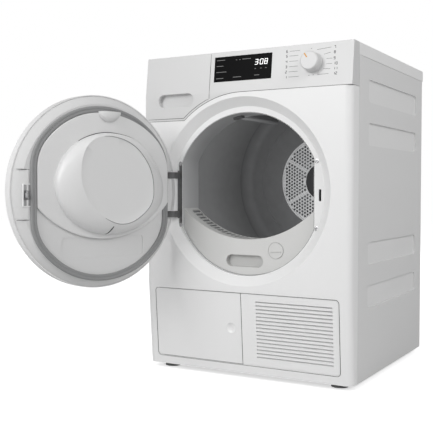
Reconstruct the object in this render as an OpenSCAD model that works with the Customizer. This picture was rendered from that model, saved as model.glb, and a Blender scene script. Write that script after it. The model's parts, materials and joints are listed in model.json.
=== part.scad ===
// Free-standing heat-pump clothes dryer, built up as its separate pieces.
// Millimetres. The origin is the middle of the cabinet's footprint on the floor; X is to the
// right, -Y is the front and +Z is up. The door stands open as it does for loading.

/* [Cabinet] */
// Width of the cabinet
cab_w = 596; // [594:1:600]
// Depth from the front panel to the rear edge of the top plate
cab_d = 611; // [606:1:624]
// Height of the cabinet above the floor
cab_h = 850; // [846:1:860]
// Gap between the floor and the cabinet's lower edge
floor_gap = 13; // [12:1:16]
// Thickness of the painted sheet steel
sheet = 1.5; // [1.2:0.1:1.8]
// Radius of the upright corners of the front panel
corner_r = 20; // [14:1:24]
// How far the front panel and the fascia turn back along each side
return_d = 49; // [46:1:52]
// Height of the top plate's edge
top_h = 30; // [26:1:32]
// How far the top plate overhangs the rear of the side panels
rear_step = 9; // [5:1:12]
// Height at which the front panel starts to lean back towards the floor
lean_z = 240; // [238:1:244]
// Lean of the front panel's lower part, in degrees
lean_a = 4.5; // [3.5:0.1:5]

/* [Side panels] */
// Length of each pressed recess
recess_len = 425; // [380:5:430]
// Height of each pressed recess
recess_h = 60; // [50:1:62]
// Depth of each pressed recess
recess_depth = 5; // [3:0.5:6]
// Corner radius of each pressed recess
recess_r = 14; // [8:1:20]
// Distance from the front panel to the start of the recesses
recess_y = 118; // [110:1:125]

/* [Fascia] */
// Height of the control fascia on its right
fascia_h = 107; // [104:1:109]
// Backward lean of the fascia, in degrees
fascia_a = 6.75; // [5:0.25:7.5]
// How much lower the fascia reaches on its left
fascia_drop = 66.5; // [60:0.5:70]
// Wall of the fascia moulding
fascia_t = 3; // [2.5:0.5:3.5]
// Width of the fascia strip under the container's front
strip_w = 5.8; // [4:0.2:8]
// Right edge of the container's front
drawer_edge = -96.5; // [-99:0.5:-92]
// Width of the display window
display_w = 166; // [150:1:170]
// Height of the display window
display_h = 66; // [56:1:68]
// Height of the display's centre above the fascia's lower edge
display_up = 61.8; // [58:0.2:63]
// Sideways place of the selector knob
knob_x = 193; // [185:1:200]
// Height of the knob's centre above the fascia's lower edge
knob_up = 59.5; // [55:0.5:62]
// Radius of the selector knob
knob_r = 24; // [20:0.5:26]
// How far the knob stands off the fascia
knob_out = 25; // [18:1:28]

/* [Loading opening] */
// Radius of the round recess that the door closes into
ring_r = 244.5; // [242:0.5:246]
// Height of the recess's centre
ring_z = 486; // [484:1:488]
// Depth of the recess
recess_in = 21; // [20.5:0.1:21.5]
// Radius at which the recess's cone meets its flat flange
flange_r = 221; // [220:0.5:222]
// Radius of the loading opening
opening_r = 211; // [209:0.5:212]
// Height of the opening's centre
opening_z = 480; // [479:0.5:481]
// Half of the distance between the opening's flat sides
opening_half = 192; // [190:0.5:193]
// Wall of the loading frame's throat
throat_t = 2.5; // [2:0.1:2.5]

/* [Drum] */
// Inner radius of the drum
drum_r = 283; // [280:0.5:284]
// Height of the drum's axis
drum_z = 518; // [517:0.5:519]
// Distance from the front panel to the drum's front edge
drum_y = 106; // [105:0.5:108]
// Length of the drum inside
drum_len = 452; // [440:1:455]
// Radius of the corner between the drum's shell and its rear wall
drum_corner = 35; // [25:1:40]
// Radius of the hole in the drum's front lip
lip_r = 262; // [261.8:0.1:264]
// Radius of the perforated air plate
plate_r = 143; // [135:1:146]
// Radius of the hub cap in the drum
hub_r = 60; // [50:1:64]
// Spacing of the holes in the air plate
hole_pitch = 10.6; // [10:0.2:16]
// Radius of the holes in the air plate
hole_r = 3.5; // [3:0.1:4]
// Height of the lifters inside the drum
lifter_h = 55; // [40:1:65]
// Radius of the two rollers under the drum
roller_r = 25; // [22:0.5:27]

/* [Drive] */
// Sideways place of the motor shaft
motor_x = 150; // [145:1:155]
// Height of the motor shaft
motor_z = 140; // [136:1:142]
// Radius of the motor's casing
motor_r = 52; // [45:1:56]
// Radius of the motor shaft
shaft_r = 6; // [5:0.5:8]
// Radius of the belt pulley
pulley_r = 12; // [10:0.5:16]
// Thickness of the drive belt
belt_t = 2; // [1.5:0.1:2.5]
// Width of the drive belt
belt_w = 8; // [6:0.5:9]
// Radius of the blower's wheel
blower_r = 72; // [60:1:76]

/* [Door] */
// Angle at which the door stands open
door_open = 110; // [95:1:120]
// Sideways place of the door's hinge axis
hinge_x = -220; // [-220.5:0.5:-219.5]
// How far the hinge axis lies in front of the front panel
hinge_out = 20; // [19.5:0.1:20.2]
// Outer radius of the door
door_r = 239; // [238.5:0.1:239.5]
// How far the door's face stands in front of the front panel
door_out = 27; // [26.8:0.1:28]
// Radius of the door gasket
gasket_r = 215.4; // [215:0.1:215.8]
// Half of the distance between the gasket's flat sides
gasket_half = 198.6; // [198:0.1:198.8]
// Width of the gasket
gasket_w = 15.5; // [12:0.5:17]
// Height of the gasket's centre
gasket_z = 481.3; // [480.5:0.1:482]
// Depth to which the door's bulge reaches into the drum
bulge_y = 60; // [50:1:62]
// Radius of the hinge pins
pin_r = 2.4; // [2:0.1:2.6]

/* [Water container and filters] */
// Length of the water container
tank_len = 450; // [400:5:470]
// Wall of the water container
tank_t = 2.5; // [2:0.1:3]
// Depth of the lint filter
lint_d = 73; // [65:1:76]

/* [Lower front] */
// Width of the lower opening that the flap and the grille fill
plinth_w = 535; // [530:1:540]
// Height of the lower opening
plinth_h = 189; // [185:1:190]
// Distance of the lower opening under the line where the panel starts to lean
plinth_drop = 15.5; // [14:0.5:17]
// Corner radius of the lower opening
plinth_r = 10; // [7:1:14]
// Place of the seam between the flap and the grille
seam_x = -2.5; // [-4:0.5:0]
// Number of slats in the grille
slat_n = 16; // [12:1:18]
// Width of the slatted window
slat_w = 210; // [190:1:214]

/* [Hidden] */
$fn = 96;

// Clearances: seated pieces, soft or turning pieces, and pins in their bores
seat = 0.2;
gap = 0.3;
fit = 0.05;

white = "#ededec";
pale = "#dcdcda";
steel = "#b4b5b6";
dark = "#4a4b4d";
grey = "#8e8f91";

half_w = cab_w / 2;
in_w = half_w - sheet;
top_z = cab_h - top_h;
rear_y = cab_d - rear_step;
panel_y = rear_y - 2 * sheet;
fascia_z = cab_h - fascia_h;
fascia_low = fascia_z - fascia_drop;
arc_r = fascia_z - ring_z;
flange_back = recess_in + sheet;
hole_n = ceil(plate_r / (hole_pitch * sin(60)));

// Stations along the depth, measured from the front panel
shield_y = drum_y - 18;
shield_t = 3;
collar_r = lip_r - 6;
drum_end = drum_y + drum_len;
shell_end = drum_end - drum_corner;
belt_y = drum_end - 60;
duct_y = drum_end + 10;
shell_out = drum_r + sheet;
tank_clear_r = shell_out + belt_t + 5.5;
tank_slope = 125;
tank_left = -(in_w - recess_depth - sheet - 0.5);
tank_low = fascia_low + 14;
tank_top = top_z - 5;
tank_y = 17;
tray_floor = floor_gap + 4;
tray_t = 3;
tray_wall = 20;
tray_y = 22.5;
tunnel_top = drum_z - shell_out - 18.5;
tunnel_right = -40;
tunnel_y = 28;
tunnel_end = duct_y - 26;
boss_r = 14;
boss_h = 22;
foot_places = [for (x = [-248, 248], y = [62, cab_d - 50]) [x, y]];
mouth_d = 84;
roller_d = shell_out + roller_r + gap;
roller_places = [for (a = [-120, -60]) [roller_d * cos(a), drum_z + roller_d * sin(a)]];
flange_screws = [[-197.5, 562], [-197.5, 396], [200, 562], [200, 395]];
screw_r = 4.4;
screw_in = 1.5;
plate_half = plinth_w / 2;
plinth_gap = 1.5;
flap_axis_x = -plate_half + 8;
flap_axis_y = 2;
latch_x = 208.5;
latch_z = 478;
slot_w = 6.4;
slot_h = 29;
arm_spans = [[417, 434], [521.5, 538.5]];
lint_y = recess_in + 8;
lint_arc_z = 632;
lint_arc_r = 270;
compressor_at = [190, 150];

// Straight run of the drum's belt from the motor's pulley, and the idler that bears on it
run_c = [motor_x, motor_z - drum_z];
run_a = atan2(run_c[1], run_c[0]) + acos((shell_out - pulley_r) / norm(run_c));
run_n = [cos(run_a), sin(run_a)];
run_low = run_c + (pulley_r + gap) * run_n;
run_high = (shell_out + gap) * run_n;
idler_at = [0, drum_z] + run_low * 0.65 + run_high * 0.35 + (14 + belt_t + gap) * run_n;

// ---- Places and directions ----
// Everything is drawn from the front panel's face backwards, then set about the footprint.
module front() { translate([0, -cab_d / 2, 0]) children(); }
module along_y(y0, y1) { translate([0, y1, 0]) rotate([90, 0, 0]) linear_extrude(y1 - y0) children(); }
module about_y(x, z) { translate([x, 0, z]) rotate([-90, 0, 0]) rotate_extrude() children(); }
module rod_y(x, z, r, y0, y1) { translate([x, y0, z]) rotate([-90, 0, 0]) cylinder(r = r, h = y1 - y0); }
module box(x0, x1, y0, y1, z0, z1) { translate([x0, y0, z0]) cube([x1 - x0, y1 - y0, z1 - z0]); }
module leaned() { translate([0, 0, lean_z]) rotate([lean_a, 0, 0]) children(); }
module on_fascia() { translate([0, 0, fascia_z]) rotate([-fascia_a, 0, 0]) children(); }
// Half spaces above and below the mitre at which a skin bends by the angle a
module above_bend(z, a) {
    translate([0, 0, z]) rotate([a / 2, 0, 0]) translate([-400, -100, 0]) cube([800, 300, 700]);
}
module below_bend(z, a) {
    translate([0, 0, z]) rotate([a / 2, 0, 0]) translate([-400, -100, -700]) cube([800, 300, 700]);
}
module swung() {
    translate([hinge_x, -hinge_out, 0]) rotate([0, 0, -door_open]) translate([-hinge_x, hinge_out, 0])
        children();
}

// ---- Outlines ----
module round_rect(w, h, r) {
    square([w - 2 * r, h], center = true);
    square([w, h - 2 * r], center = true);
    for (x = [-1, 1], y = [-1, 1]) translate([x * (w / 2 - r), y * (h / 2 - r)]) circle(r = r);
}
module stadium(w, h) {
    square([w - h, h], center = true);
    for (x = [-1, 1]) translate([x * (w - h) / 2, 0]) circle(d = h);
}
// Plan of a skin that covers the front and turns back round both corners
module wrap_plan(w, d, r) {
    translate([-w / 2 + r, 0]) square([w - 2 * r, d]);
    translate([-w / 2, r]) square([w, d - r]);
    for (x = [-1, 1]) translate([x * (w / 2 - r), r]) circle(r = r);
}
module wrap_wall(w, d, r, t) {
    difference() {
        wrap_plan(w, d, r);
        translate([0, t]) wrap_plan(w - 2 * t, d, r - t);
    }
}
module opening_outline(grow) {
    intersection() {
        translate([0, opening_z]) circle(r = opening_r + grow, $fn = 180);
        translate([0, opening_z]) square([2 * (opening_half + grow), 3 * opening_r], center = true);
    }
}
module gasket_outline(shrink) {
    intersection() {
        translate([0, gasket_z]) circle(r = gasket_r - shrink, $fn = 180);
        translate([0, gasket_z]) square([2 * (gasket_half - shrink * 1.25), 3 * gasket_r], center = true);
    }
}
// Face of the fascia: a straight strip that widens on the left along the recess's curve
module fascia_outline(grow) {
    translate([-half_w - 5, fascia_z - grow]) square([cab_w + 10, fascia_h + 10]);
    difference() {
        translate([-half_w - 5, fascia_low - grow]) square([half_w + 5, fascia_drop + 1]);
        translate([0, ring_z]) circle(r = arc_r - grow, $fn = 180);
    }
}
module drawer_outline(grow) {
    difference() {
        translate([-half_w - 5, fascia_low + strip_w - grow])
            square([half_w + 5 + drawer_edge + grow, cab_h - fascia_low]);
        translate([0, ring_z]) circle(r = arc_r + strip_w - grow, $fn = 180);
    }
}
module tank_outline(grow) {
    difference() {
        translate([tank_left - grow, tank_low - grow])
            square([drawer_edge - 9 - tank_left + 2 * grow, tank_top - tank_low + 2 * grow]);
        translate([0, drum_z]) rotate(tank_slope) translate([tank_clear_r - grow - 500, -500])
            square([500, 1000]);
    }
}
module lint_outline(shrink) {
    difference() {
        intersection() {
            opening_outline(-0.6 - shrink);
            translate([-250, 0]) square([500, opening_z]);
        }
        translate([0, lint_arc_z]) circle(r = lint_arc_r + shrink, $fn = 180);
    }
}
module duct_outline(shrink) {
    translate([0, drum_z]) circle(r = 166 - shrink);
    polygon([[motor_x - 70 + shrink, tunnel_top + 9], [motor_x + 70 - shrink, tunnel_top + 9],
        [120 - shrink, drum_z - 90], [-20 + shrink, drum_z - 90]]);
}
// Loop round the drum and the motor pulley, as the belt runs
module belt_block(r1, r2, over) {
    c = [motor_x, motor_z - drum_z];
    phi = atan2(c[1], c[0]);
    a = acos((r1 - r2) / norm(c));
    y0 = belt_y - belt_w / 2 - over;
    y1 = belt_y + belt_w / 2 + over;
    rod_y(0, drum_z, r1, y0, y1);
    rod_y(motor_x, motor_z, r2, y0, y1);
    along_y(y0, y1) translate([0, drum_z]) polygon([[0, 0],
        r1 * [cos(phi - a), sin(phi - a)], c + r2 * [cos(phi - a), sin(phi - a)],
        c + r2 * [cos(phi + a), sin(phi + a)], r1 * [cos(phi + a), sin(phi + a)]]);
}

// ---- Cabinet ----
module front_panel() {
    color(white) front() difference() {
        union() {
            difference() {
                union() {
                    intersection() {
                        translate([0, 0, lean_z - 20]) linear_extrude(fascia_z - lean_z + 20)
                            wrap_wall(cab_w, return_d, corner_r, sheet);
                        above_bend(lean_z, lean_a);
                    }
                    intersection() {
                        leaned() translate([0, 0, -lean_z]) linear_extrude(lean_z + 20)
                            wrap_wall(cab_w, return_d + 30, corner_r, sheet);
                        below_bend(lean_z, lean_a);
                        box(-half_w, half_w, -1, return_d, floor_gap, lean_z + 20);
                    }
                }
                along_y(-1, return_d + 1) fascia_outline(1);
                along_y(-1, 5) translate([0, ring_z]) circle(r = ring_r + 0.4, $fn = 180);
            }
            recess_pressing();
            for (z = [-plinth_drop + 3.5, -plinth_drop - plinth_h]) leaned()
                box(flap_axis_x - 7, flap_axis_x + 7, sheet, flap_axis_y + 4, z - 3.5, z);
        }
        leaned() along_y(-1, sheet + 0.01)
            translate([0, -plinth_drop - plinth_h / 2]) round_rect(plinth_w, plinth_h, plinth_r);
        leaned() translate([flap_axis_x, flap_axis_y, -plinth_drop - plinth_h - 10])
            cylinder(r = 1.5, h = plinth_h + 20, $fn = 24);
    }
}
// The drawn recess: its cone, its flat flange and the loading opening cut in it
module recess_pressing() {
    difference() {
        about_y(0, ring_z) polygon([[ring_r, 0], [flange_r, recess_in], [150, recess_in],
            [150, flange_back], [flange_r + 1, flange_back], [ring_r + 1.1, sheet], [ring_r + 1.1, 0]]);
        along_y(0, 40) opening_outline(0);
        along_y(recess_in - 1, 40) hinge_strip(seat);
        latch_slot(recess_in - 1, 40);
        for (p = flange_screws) if (p[0] > 0) rod_y(p[0], p[1], screw_r + fit, recess_in - 1, 40);
    }
}

module latch_slot(y0, y1) {
    x0 = latch_x - slot_w / 2;
    z0 = latch_z - slot_h / 2;
    box(x0, x0 + slot_w, y0, y1, z0, z0 + slot_h);
}

module hinge_strip(grow) {
    translate([-200.2, latch_z + 0.5]) square([14.6 + 2 * grow, 129 + 2 * grow], center = true);
    translate([-197.7, latch_z + 1]) rotate(90) stadium(177 + 2 * grow, 9.6 + 2 * grow);
}
module side_panel_left() { mirror([1, 0, 0]) side_panel_right(); }
module side_panel_right() {
    y0 = return_d + 0.8;
    color(steel) front() difference() {
        union() {
            box(in_w, half_w, y0, rear_y, floor_gap, top_z - 0.8);
            box(in_w - 12, in_w, y0, rear_y - sheet, top_z - 0.8 - sheet, top_z - 0.8);
            box(in_w - 14, in_w, rear_y - sheet, rear_y, floor_gap, top_z - 0.8);
            box(in_w - 4, in_w, y0, y0 + sheet, tray_floor + tray_wall + gap, top_z - 0.8);
            box(in_w - 12, in_w, y0 + 5, rear_y - sheet, floor_gap, floor_gap + sheet);
            side_recesses(0, recess_depth + sheet);
        }
        side_recesses(sheet, recess_depth);
    }
}
module side_recesses(shrink, depth) {
    for (z = [739.5, 631.5, 330.5, 220.5])
        translate([half_w - depth, recess_y + recess_len / 2, z]) rotate([90, 0, 90])
            linear_extrude(depth + (shrink > 0 ? 1 : 0))
                round_rect(recess_len - 2 * shrink, recess_h - 2 * shrink, recess_r - shrink);
}
module top_plate() {
    color(white) front() {
        difference() {
            box(-half_w, half_w, return_d + 0.8, cab_d, top_z, cab_h);
            box(-half_w + sheet, half_w - sheet, return_d + 0.8 + sheet, cab_d - sheet,
                top_z - 1, cab_h - sheet);
        }
        for (x = [-1, 1], y = [return_d + 6, rear_y - 30]) difference() {
            translate([x * (in_w - 6) - 6, y, top_z - 0.8]) cube([12, 24, top_h - sheet + 1]);
            translate([x * (in_w - 6) - 4.5, y + 1.5, top_z + 3]) cube([9, 21, top_h - 6]);
        }
    }
}
module rear_panel() {
    color(steel) front() difference() {
        union() {
            box(-in_w + seat, in_w - seat, panel_y, panel_y + sheet, floor_gap + 6, top_z - 0.8 - sheet);
            along_y(panel_y, panel_y + sheet + 4) translate([0, drum_z]) circle(r = 240);
        }
        along_y(panel_y - 1, panel_y + 4) translate([0, drum_z]) circle(r = 238);
        for (x = [-9:9]) box(x * 14 - 3, x * 14 + 3, panel_y - 1, panel_y + 8, 60, 110);
        rod_y(-240, 770, 9, panel_y - 1, panel_y + 8);
        rod_y(240, 770, 12, panel_y - 1, panel_y + 8);
    }
}
module tray_plan(shrink) {
    w = in_w - seat - shrink;
    y0 = tray_y + shrink;
    y1 = panel_y - seat - shrink;
    polygon([[-w, y0 + corner_r], [-w + corner_r, y0], [w - corner_r, y0], [w, y0 + corner_r],
        [w, y1], [-w, y1]]);
}
module base_tray() {
    color(dark) front() difference() {
        union() {
            translate([0, 0, floor_gap + sheet]) linear_extrude(tray_floor - floor_gap - sheet) tray_plan(0);
            translate([0, 0, floor_gap + sheet]) linear_extrude(tray_floor + tray_wall - floor_gap - sheet)
                difference() {
                    tray_plan(0);
                    tray_plan(tray_t);
                }
            for (p = foot_places) translate([p[0], p[1], floor_gap + sheet]) cylinder(r = boss_r, h = boss_h);
        }
        for (p = foot_places) translate([p[0], p[1], 0]) cylinder(r = 5 + fit, h = 60);
    }
}
module feet() {
    color(dark) front() for (p = foot_places) translate([p[0], p[1], 0]) {
        cylinder(r = 22, h = 5);
        cylinder(r = 16, h = floor_gap + sheet);
        cylinder(r = 5, h = floor_gap + boss_h);
    }
}

// ---- Drum and its bearings ----
module front_shield() {
    color(grey) front() difference() {
        union() {
            along_y(shield_y, shield_y + shield_t) difference() {
                union() {
                    translate([-in_w + seat, lean_z - 8]) square([2 * (in_w - seat), 570]);
                    translate([0, drum_z]) circle(r = collar_r);
                }
                tank_outline(1);
            }
            along_y(flange_back, drum_y - 1) opening_outline(throat_t);
            along_y(flange_back, flange_back + 5) opening_outline(13);
            about_y(0, drum_z) translate([collar_r - 5, shield_y]) square([5, 24]);
            for (p = roller_places) rod_y(p[0], p[1], 5, shield_y + 1, shield_y + 44);
        }
        along_y(0, shield_y + shield_t + 1) opening_outline(0);
        along_y(shield_y, drum_y) opening_outline(0);
        along_y(0, recess_in + 3) hinge_strip(seat);
        for (p = flange_screws) rod_y(p[0], p[1], 2 + fit, 0, 60);
        box(-100, 80, 38, 80, opening_z - opening_r - 20, opening_z - opening_r + 20);
    }
}
module drum_seals() {
    color("#5b5a57") front() about_y(0, drum_z) {
        translate([collar_r, drum_y - 5]) square([lip_r - gap - collar_r, 11]);
        translate([156, drum_end + sheet + gap]) square([7, duct_y - drum_end - sheet - gap]);
    }
}
module support_roller(p) {
    color(dark) front() difference() {
        rod_y(p[0], p[1], roller_r, shield_y + 24, shield_y + 40);
        rod_y(p[0], p[1], 5 + fit, 0, 300);
    }
}
module support_roller_left() { support_roller(roller_places[0]); }
module support_roller_right() { support_roller(roller_places[1]); }
module drum_lamp() {
    color("#f4f4ee") front() intersection() {
        translate([0, 0, opening_z]) rotate([0, -12, 0]) box(-13, 13, 58, 76, opening_r - 7, opening_r + 2);
        along_y(50, 90) translate([0, opening_z]) circle(r = opening_r - fit, $fn = 360);
    }
}
module drum_shell() {
    color(grey) front() about_y(0, drum_z) polygon([[lip_r, drum_y], [shell_out, drum_y],
        [shell_out, shell_end], [drum_r, shell_end], [drum_r, drum_y + sheet], [lip_r, drum_y + sheet]]);
}
module drum_rear_wall() {
    color(dark) front() about_y(0, drum_z) {
        intersection() {
            translate([drum_r - drum_corner, shell_end]) difference() {
                circle(r = drum_corner + sheet);
                circle(r = drum_corner);
            }
            translate([drum_r - drum_corner, shell_end]) square(drum_corner + 5);
        }
        translate([plate_r - 6, drum_end]) square([drum_r - drum_corner - plate_r + 6, sheet]);
        translate([215, drum_end]) circle(r = 1.4, $fn = 24);
    }
}
module drum_air_plate() {
    color(steel) front() {
        along_y(drum_end - 2, drum_end) translate([0, drum_z]) difference() {
            circle(r = plate_r);
            circle(r = 12);
            for (i = [-hole_n:hole_n], j = [-hole_n:hole_n])
                let (x = hole_pitch * j * sin(60), z = hole_pitch * (i + (j % 2 == 0 ? 0 : 0.5)),
                    d = norm([x, z]), a = (atan2(z, x) + 360) % 60)
                if (d > hub_r + hole_r + 2 && d < plate_r - hole_r - 4 && d * sin(abs(a - 30)) > hole_r + 2)
                    translate([x, z]) circle(r = hole_r, $fn = 24);
        }
        for (a = [30:60:330]) translate([0, 0, drum_z]) rotate([0, a, 0])
            box(hub_r + 2, plate_r - 3, drum_end - 4.5, drum_end - 2, -1.6, 1.6);
        about_y(0, drum_z) translate([plate_r - 5, drum_end - 5]) square([5, 3]);
    }
}
module drum_hub() {
    color(dark) front() {
        about_y(0, drum_z) polygon([[0, drum_end - 16], [hub_r - 22, drum_end - 14],
            [hub_r, drum_end - 4], [hub_r, drum_end - 2], [0, drum_end - 2]]);
        rod_y(0, drum_z, 12, drum_end - 3, drum_end + 33);
        rod_y(0, drum_z, 40, drum_end, drum_end + sheet + 5);
        for (a = [0:60:300]) translate([0, 0, drum_z]) rotate([0, a, 0])
            box(30, plate_r + 7, drum_end + sheet, drum_end + sheet + 5, -7, 7);
    }
}
module drum_lifters() {
    color(grey) front() translate([0, 0, drum_z]) for (a = [5, 125, 245]) rotate([0, -a, 0])
        along_y(drum_y + 34, shell_end - 43) intersection() {
            difference() {
                circle(r = drum_r);
                polygon([[drum_r + 9, -29], [drum_r + 9, 29], [drum_r - lifter_h, 5],
                    [drum_r - lifter_h, -5]]);
            }
            union() {
                polygon([[drum_r + 5, -32], [drum_r + 5, 32], [drum_r - lifter_h, 8],
                    [drum_r - lifter_h, -8]]);
                translate([drum_r - lifter_h, 0]) circle(r = 8, $fn = 32);
            }
        }
}
module rear_duct() {
    color(grey) front() difference() {
        union() {
            difference() {
                along_y(duct_y, panel_y) duct_outline(0);
                along_y(duct_y + 2.5, panel_y - 2.5) duct_outline(2.5);
                along_y(duct_y - 1, duct_y + 3) translate([0, drum_z]) circle(r = 155);
                box(motor_x - 67, motor_x + 67, duct_y + 2.5, panel_y - 2.5, tunnel_top, tunnel_top + 20);
            }
            rod_y(0, drum_z, 27, duct_y + 10, panel_y);
        }
        rod_y(0, drum_z, 20, duct_y - 1, duct_y + 24);
    }
}
module rear_bearing() {
    color(steel) front() about_y(0, drum_z) translate([12 + fit, duct_y + 11]) square([8 - fit, 12]);
}

// ---- Drive ----
module drive_belt() {
    color("#2b2b2b") front() difference() {
        belt_block(shell_out + gap + belt_t, pulley_r + gap + belt_t, 0);
        belt_block(shell_out + gap, pulley_r + gap, 1);
    }
}
module drive_motor() {
    y0 = belt_y - 158;
    color(steel) front() difference() {
        union() {
            rod_y(motor_x, motor_z, motor_r, y0, y0 + 130);
            rod_y(motor_x, motor_z, 18, y0 + 129, y0 + 138);
            for (y = [y0 + 12, y0 + 106])
                box(motor_x - 38, motor_x + 38, y, y + 12, tray_floor, motor_z - 30);
        }
        rod_y(motor_x, motor_z, shaft_r + fit, y0 + 60, y0 + 200);
        about_y(motor_x, motor_z) translate([shaft_r + 8, y0 + 4]) square([motor_r - shaft_r - 20, 122]);
    }
}
module motor_shaft() {
    color(steel) front() {
        rod_y(motor_x, motor_z, shaft_r, belt_y - 96, duct_y + 20);
        rod_y(motor_x, motor_z, pulley_r, belt_y - 7, belt_y + 7);
        for (y = [belt_y - 8, belt_y + 6]) rod_y(motor_x, motor_z, pulley_r + 3, y, y + 2);
    }
}
module blower_wheel() {
    y0 = duct_y - 18;
    color(grey) front() difference() {
        union() {
            rod_y(motor_x, motor_z, blower_r, y0 + 32, y0 + 35);
            rod_y(motor_x, motor_z, 15, y0 + 4, y0 + 33);
            about_y(motor_x, motor_z) translate([blower_r - 18, y0]) square([18, 2.5]);
            for (a = [0:15:345]) translate([motor_x, 0, motor_z]) rotate([0, a, 0])
                box(blower_r - 17, blower_r - 1, y0 + 1, y0 + 33, -1, 1);
        }
        rod_y(motor_x, motor_z, shaft_r, y0 - 5, y0 + 60);
    }
}
module blower_outline(shrink) {
    translate([motor_x, motor_z]) circle(r = blower_r + 12 - shrink);
    translate([motor_x - 70 + shrink, motor_z]) square([140 - 2 * shrink, tunnel_top + 9 - motor_z]);
}
module blower_housing() {
    y0 = duct_y - 26;
    color(pale) front() difference() {
        union() {
            along_y(y0, panel_y) blower_outline(0);
            box(motor_x - 40, motor_x + 40, y0 + 8, panel_y - 8, tray_floor, motor_z - blower_r);
        }
        along_y(y0 + 2.5, panel_y - 2.5) blower_outline(2.5);
        rod_y(motor_x, motor_z, 50, y0 - 1, y0 + 3);
        box(motor_x - 67, motor_x + 67, duct_y + 2.5, panel_y - 2.5, tunnel_top, tunnel_top + 20);
    }
}
// Where the idler presses on the belt's right-hand run
module idler_arm() {
    y0 = belt_y - belt_w / 2 - 9;
    foot_x = idler_at[0] + 18;
    color(steel) front() {
        along_y(y0, y0 + 4) {
            translate(idler_at) circle(r = 10);
            translate([foot_x, 60]) circle(r = 12);
            polygon([idler_at + [-10, 0], idler_at + [10, 0], [foot_x + 12, 60], [foot_x - 12, 60]]);
        }
        rod_y(idler_at[0], idler_at[1], 4, y0 + 3, belt_y + 8);
        box(foot_x - 12, foot_x + 12, y0 - 4, y0 + 4, tray_floor, 60);
    }
}
module idler_pulley() {
    color(dark) front() difference() {
        rod_y(idler_at[0], idler_at[1], 14, belt_y - 6, belt_y + 6);
        rod_y(idler_at[0], idler_at[1], 4 + fit, 0, 700);
    }
}
// ---- Heat pump ----
module compressor() {
    color("#2f3133") front() translate([compressor_at[0], compressor_at[1], tray_floor]) {
        rotate_extrude() difference() {
            union() {
                translate([0, 24]) square([60, 142]);
                translate([0, 166]) intersection() {
                    circle(r = 60);
                    square([60, 30]);
                }
                translate([0, 12]) square([44, 14]);
            }
            translate([-10, 0]) square([10, 300]);
        }
        for (a = [90, 210, 330]) rotate([0, 0, a]) {
            translate([0, -11, 9]) cube([66, 22, 4]);
            translate([58, 0, 0]) cylinder(r = 9, h = 10);
        }
    }
}
module finned_block(y0, y1, n, tubes) {
    x0 = -in_w + 22;
    step = (tunnel_right - 12 - x0 - 1.6) / (n - 1);
    front() {
        for (i = [0:n - 1])
            box(x0 + i * step, x0 + i * step + 1.6, y0, y1, tray_floor, tunnel_top - 3 - seat);
        for (i = [0:tubes - 1], z = [60, 110, 160])
            translate([x0 - 4, y0 + (i + 0.5) * (y1 - y0) / tubes, z]) rotate([0, 90, 0])
                cylinder(r = 5, h = tunnel_right - 12 - x0 + 8, $fn = 32);
    }
}
module evaporator() { color("#b98a5e") finned_block(118, 196, 24, 2); }
module condenser() { color("#b98a5e") finned_block(216, 410, 24, 4); }
module pipe(points, r) {
    for (i = [0:len(points) - 2]) let (a = points[i], b = points[i + 1], d = b - a)
        translate(a) rotate([0, acos(d[2] / norm(d)), atan2(d[1], d[0])])
            cylinder(r = r, h = norm(d), $fn = 32);
    for (i = [1:len(points) - 2]) translate(points[i]) sphere(r = r + 0.6, $fn = 32);
}
module refrigerant_pipes() {
    c = compressor_at;
    color("#b5713d") front() {
        pipe([[tunnel_right, c[1], 160], [c[0] - 60, c[1], 160]], 5);
        pipe([[tunnel_right, 300, 100], [60, 300, 100], [60, c[1], 100], [c[0] - 60, c[1], 100]], 4);
    }
}
// Duct over the two heat exchangers: its mouth in front, its riser from the lint filter and
// its plenum that leads to the blower behind
module air_tunnel() {
    x0 = -in_w + 12;
    x1 = motor_x + blower_r + 12;
    y1 = tunnel_end;
    color(pale) front() {
        difference() {
            union() {
                box(x0, tunnel_right, tunnel_y, y1, tray_floor, tunnel_top);
                box(tunnel_right - 1, x1, y1 - 33, y1, tray_floor, tunnel_top - 12);
            }
            box(-plate_half + 3, tunnel_right - 3, 0, 120, 40, tunnel_top - 3);
            box(x0 + 3, tunnel_right - 3, tunnel_y + mouth_d, y1 - 3, 0, tunnel_top - 3);
            box(tunnel_right - 10, x1 - 3, y1 - 30, y1 - 3, 0, tunnel_top - 15);
            box(-142, -48, 37, 81, tunnel_top - 10, tunnel_top + 5);
            rod_y(motor_x, motor_z, 50, y1 - 5, y1 + 5);
            rod_y(motor_x, motor_z, shaft_r + 0.6, y1 - 40, y1);
            for (p = foot_places) translate([p[0], p[1], 0])
                cylinder(r = boss_r + gap, h = floor_gap + sheet + boss_h + gap);
            box(x0 - 1, x0 + 12, tunnel_y - 1, tunnel_y + 12, 0, tray_floor + tray_wall + gap);
        }
        difference() {
            along_y(34, 84) riser_outline(0, throat_t);
            along_y(37, 81) riser_outline(3, throat_t - 1);
        }
    }
}
module riser_outline(shrink, grow) {
    difference() {
        polygon([[-145 + shrink, tunnel_top - 1], [-45 - shrink, tunnel_top - 1], [100 - shrink, 252],
            [100 - shrink, 320], [-130 + shrink, 320], [-130 + shrink, 252]]);
        opening_outline(grow);
    }
}
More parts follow.
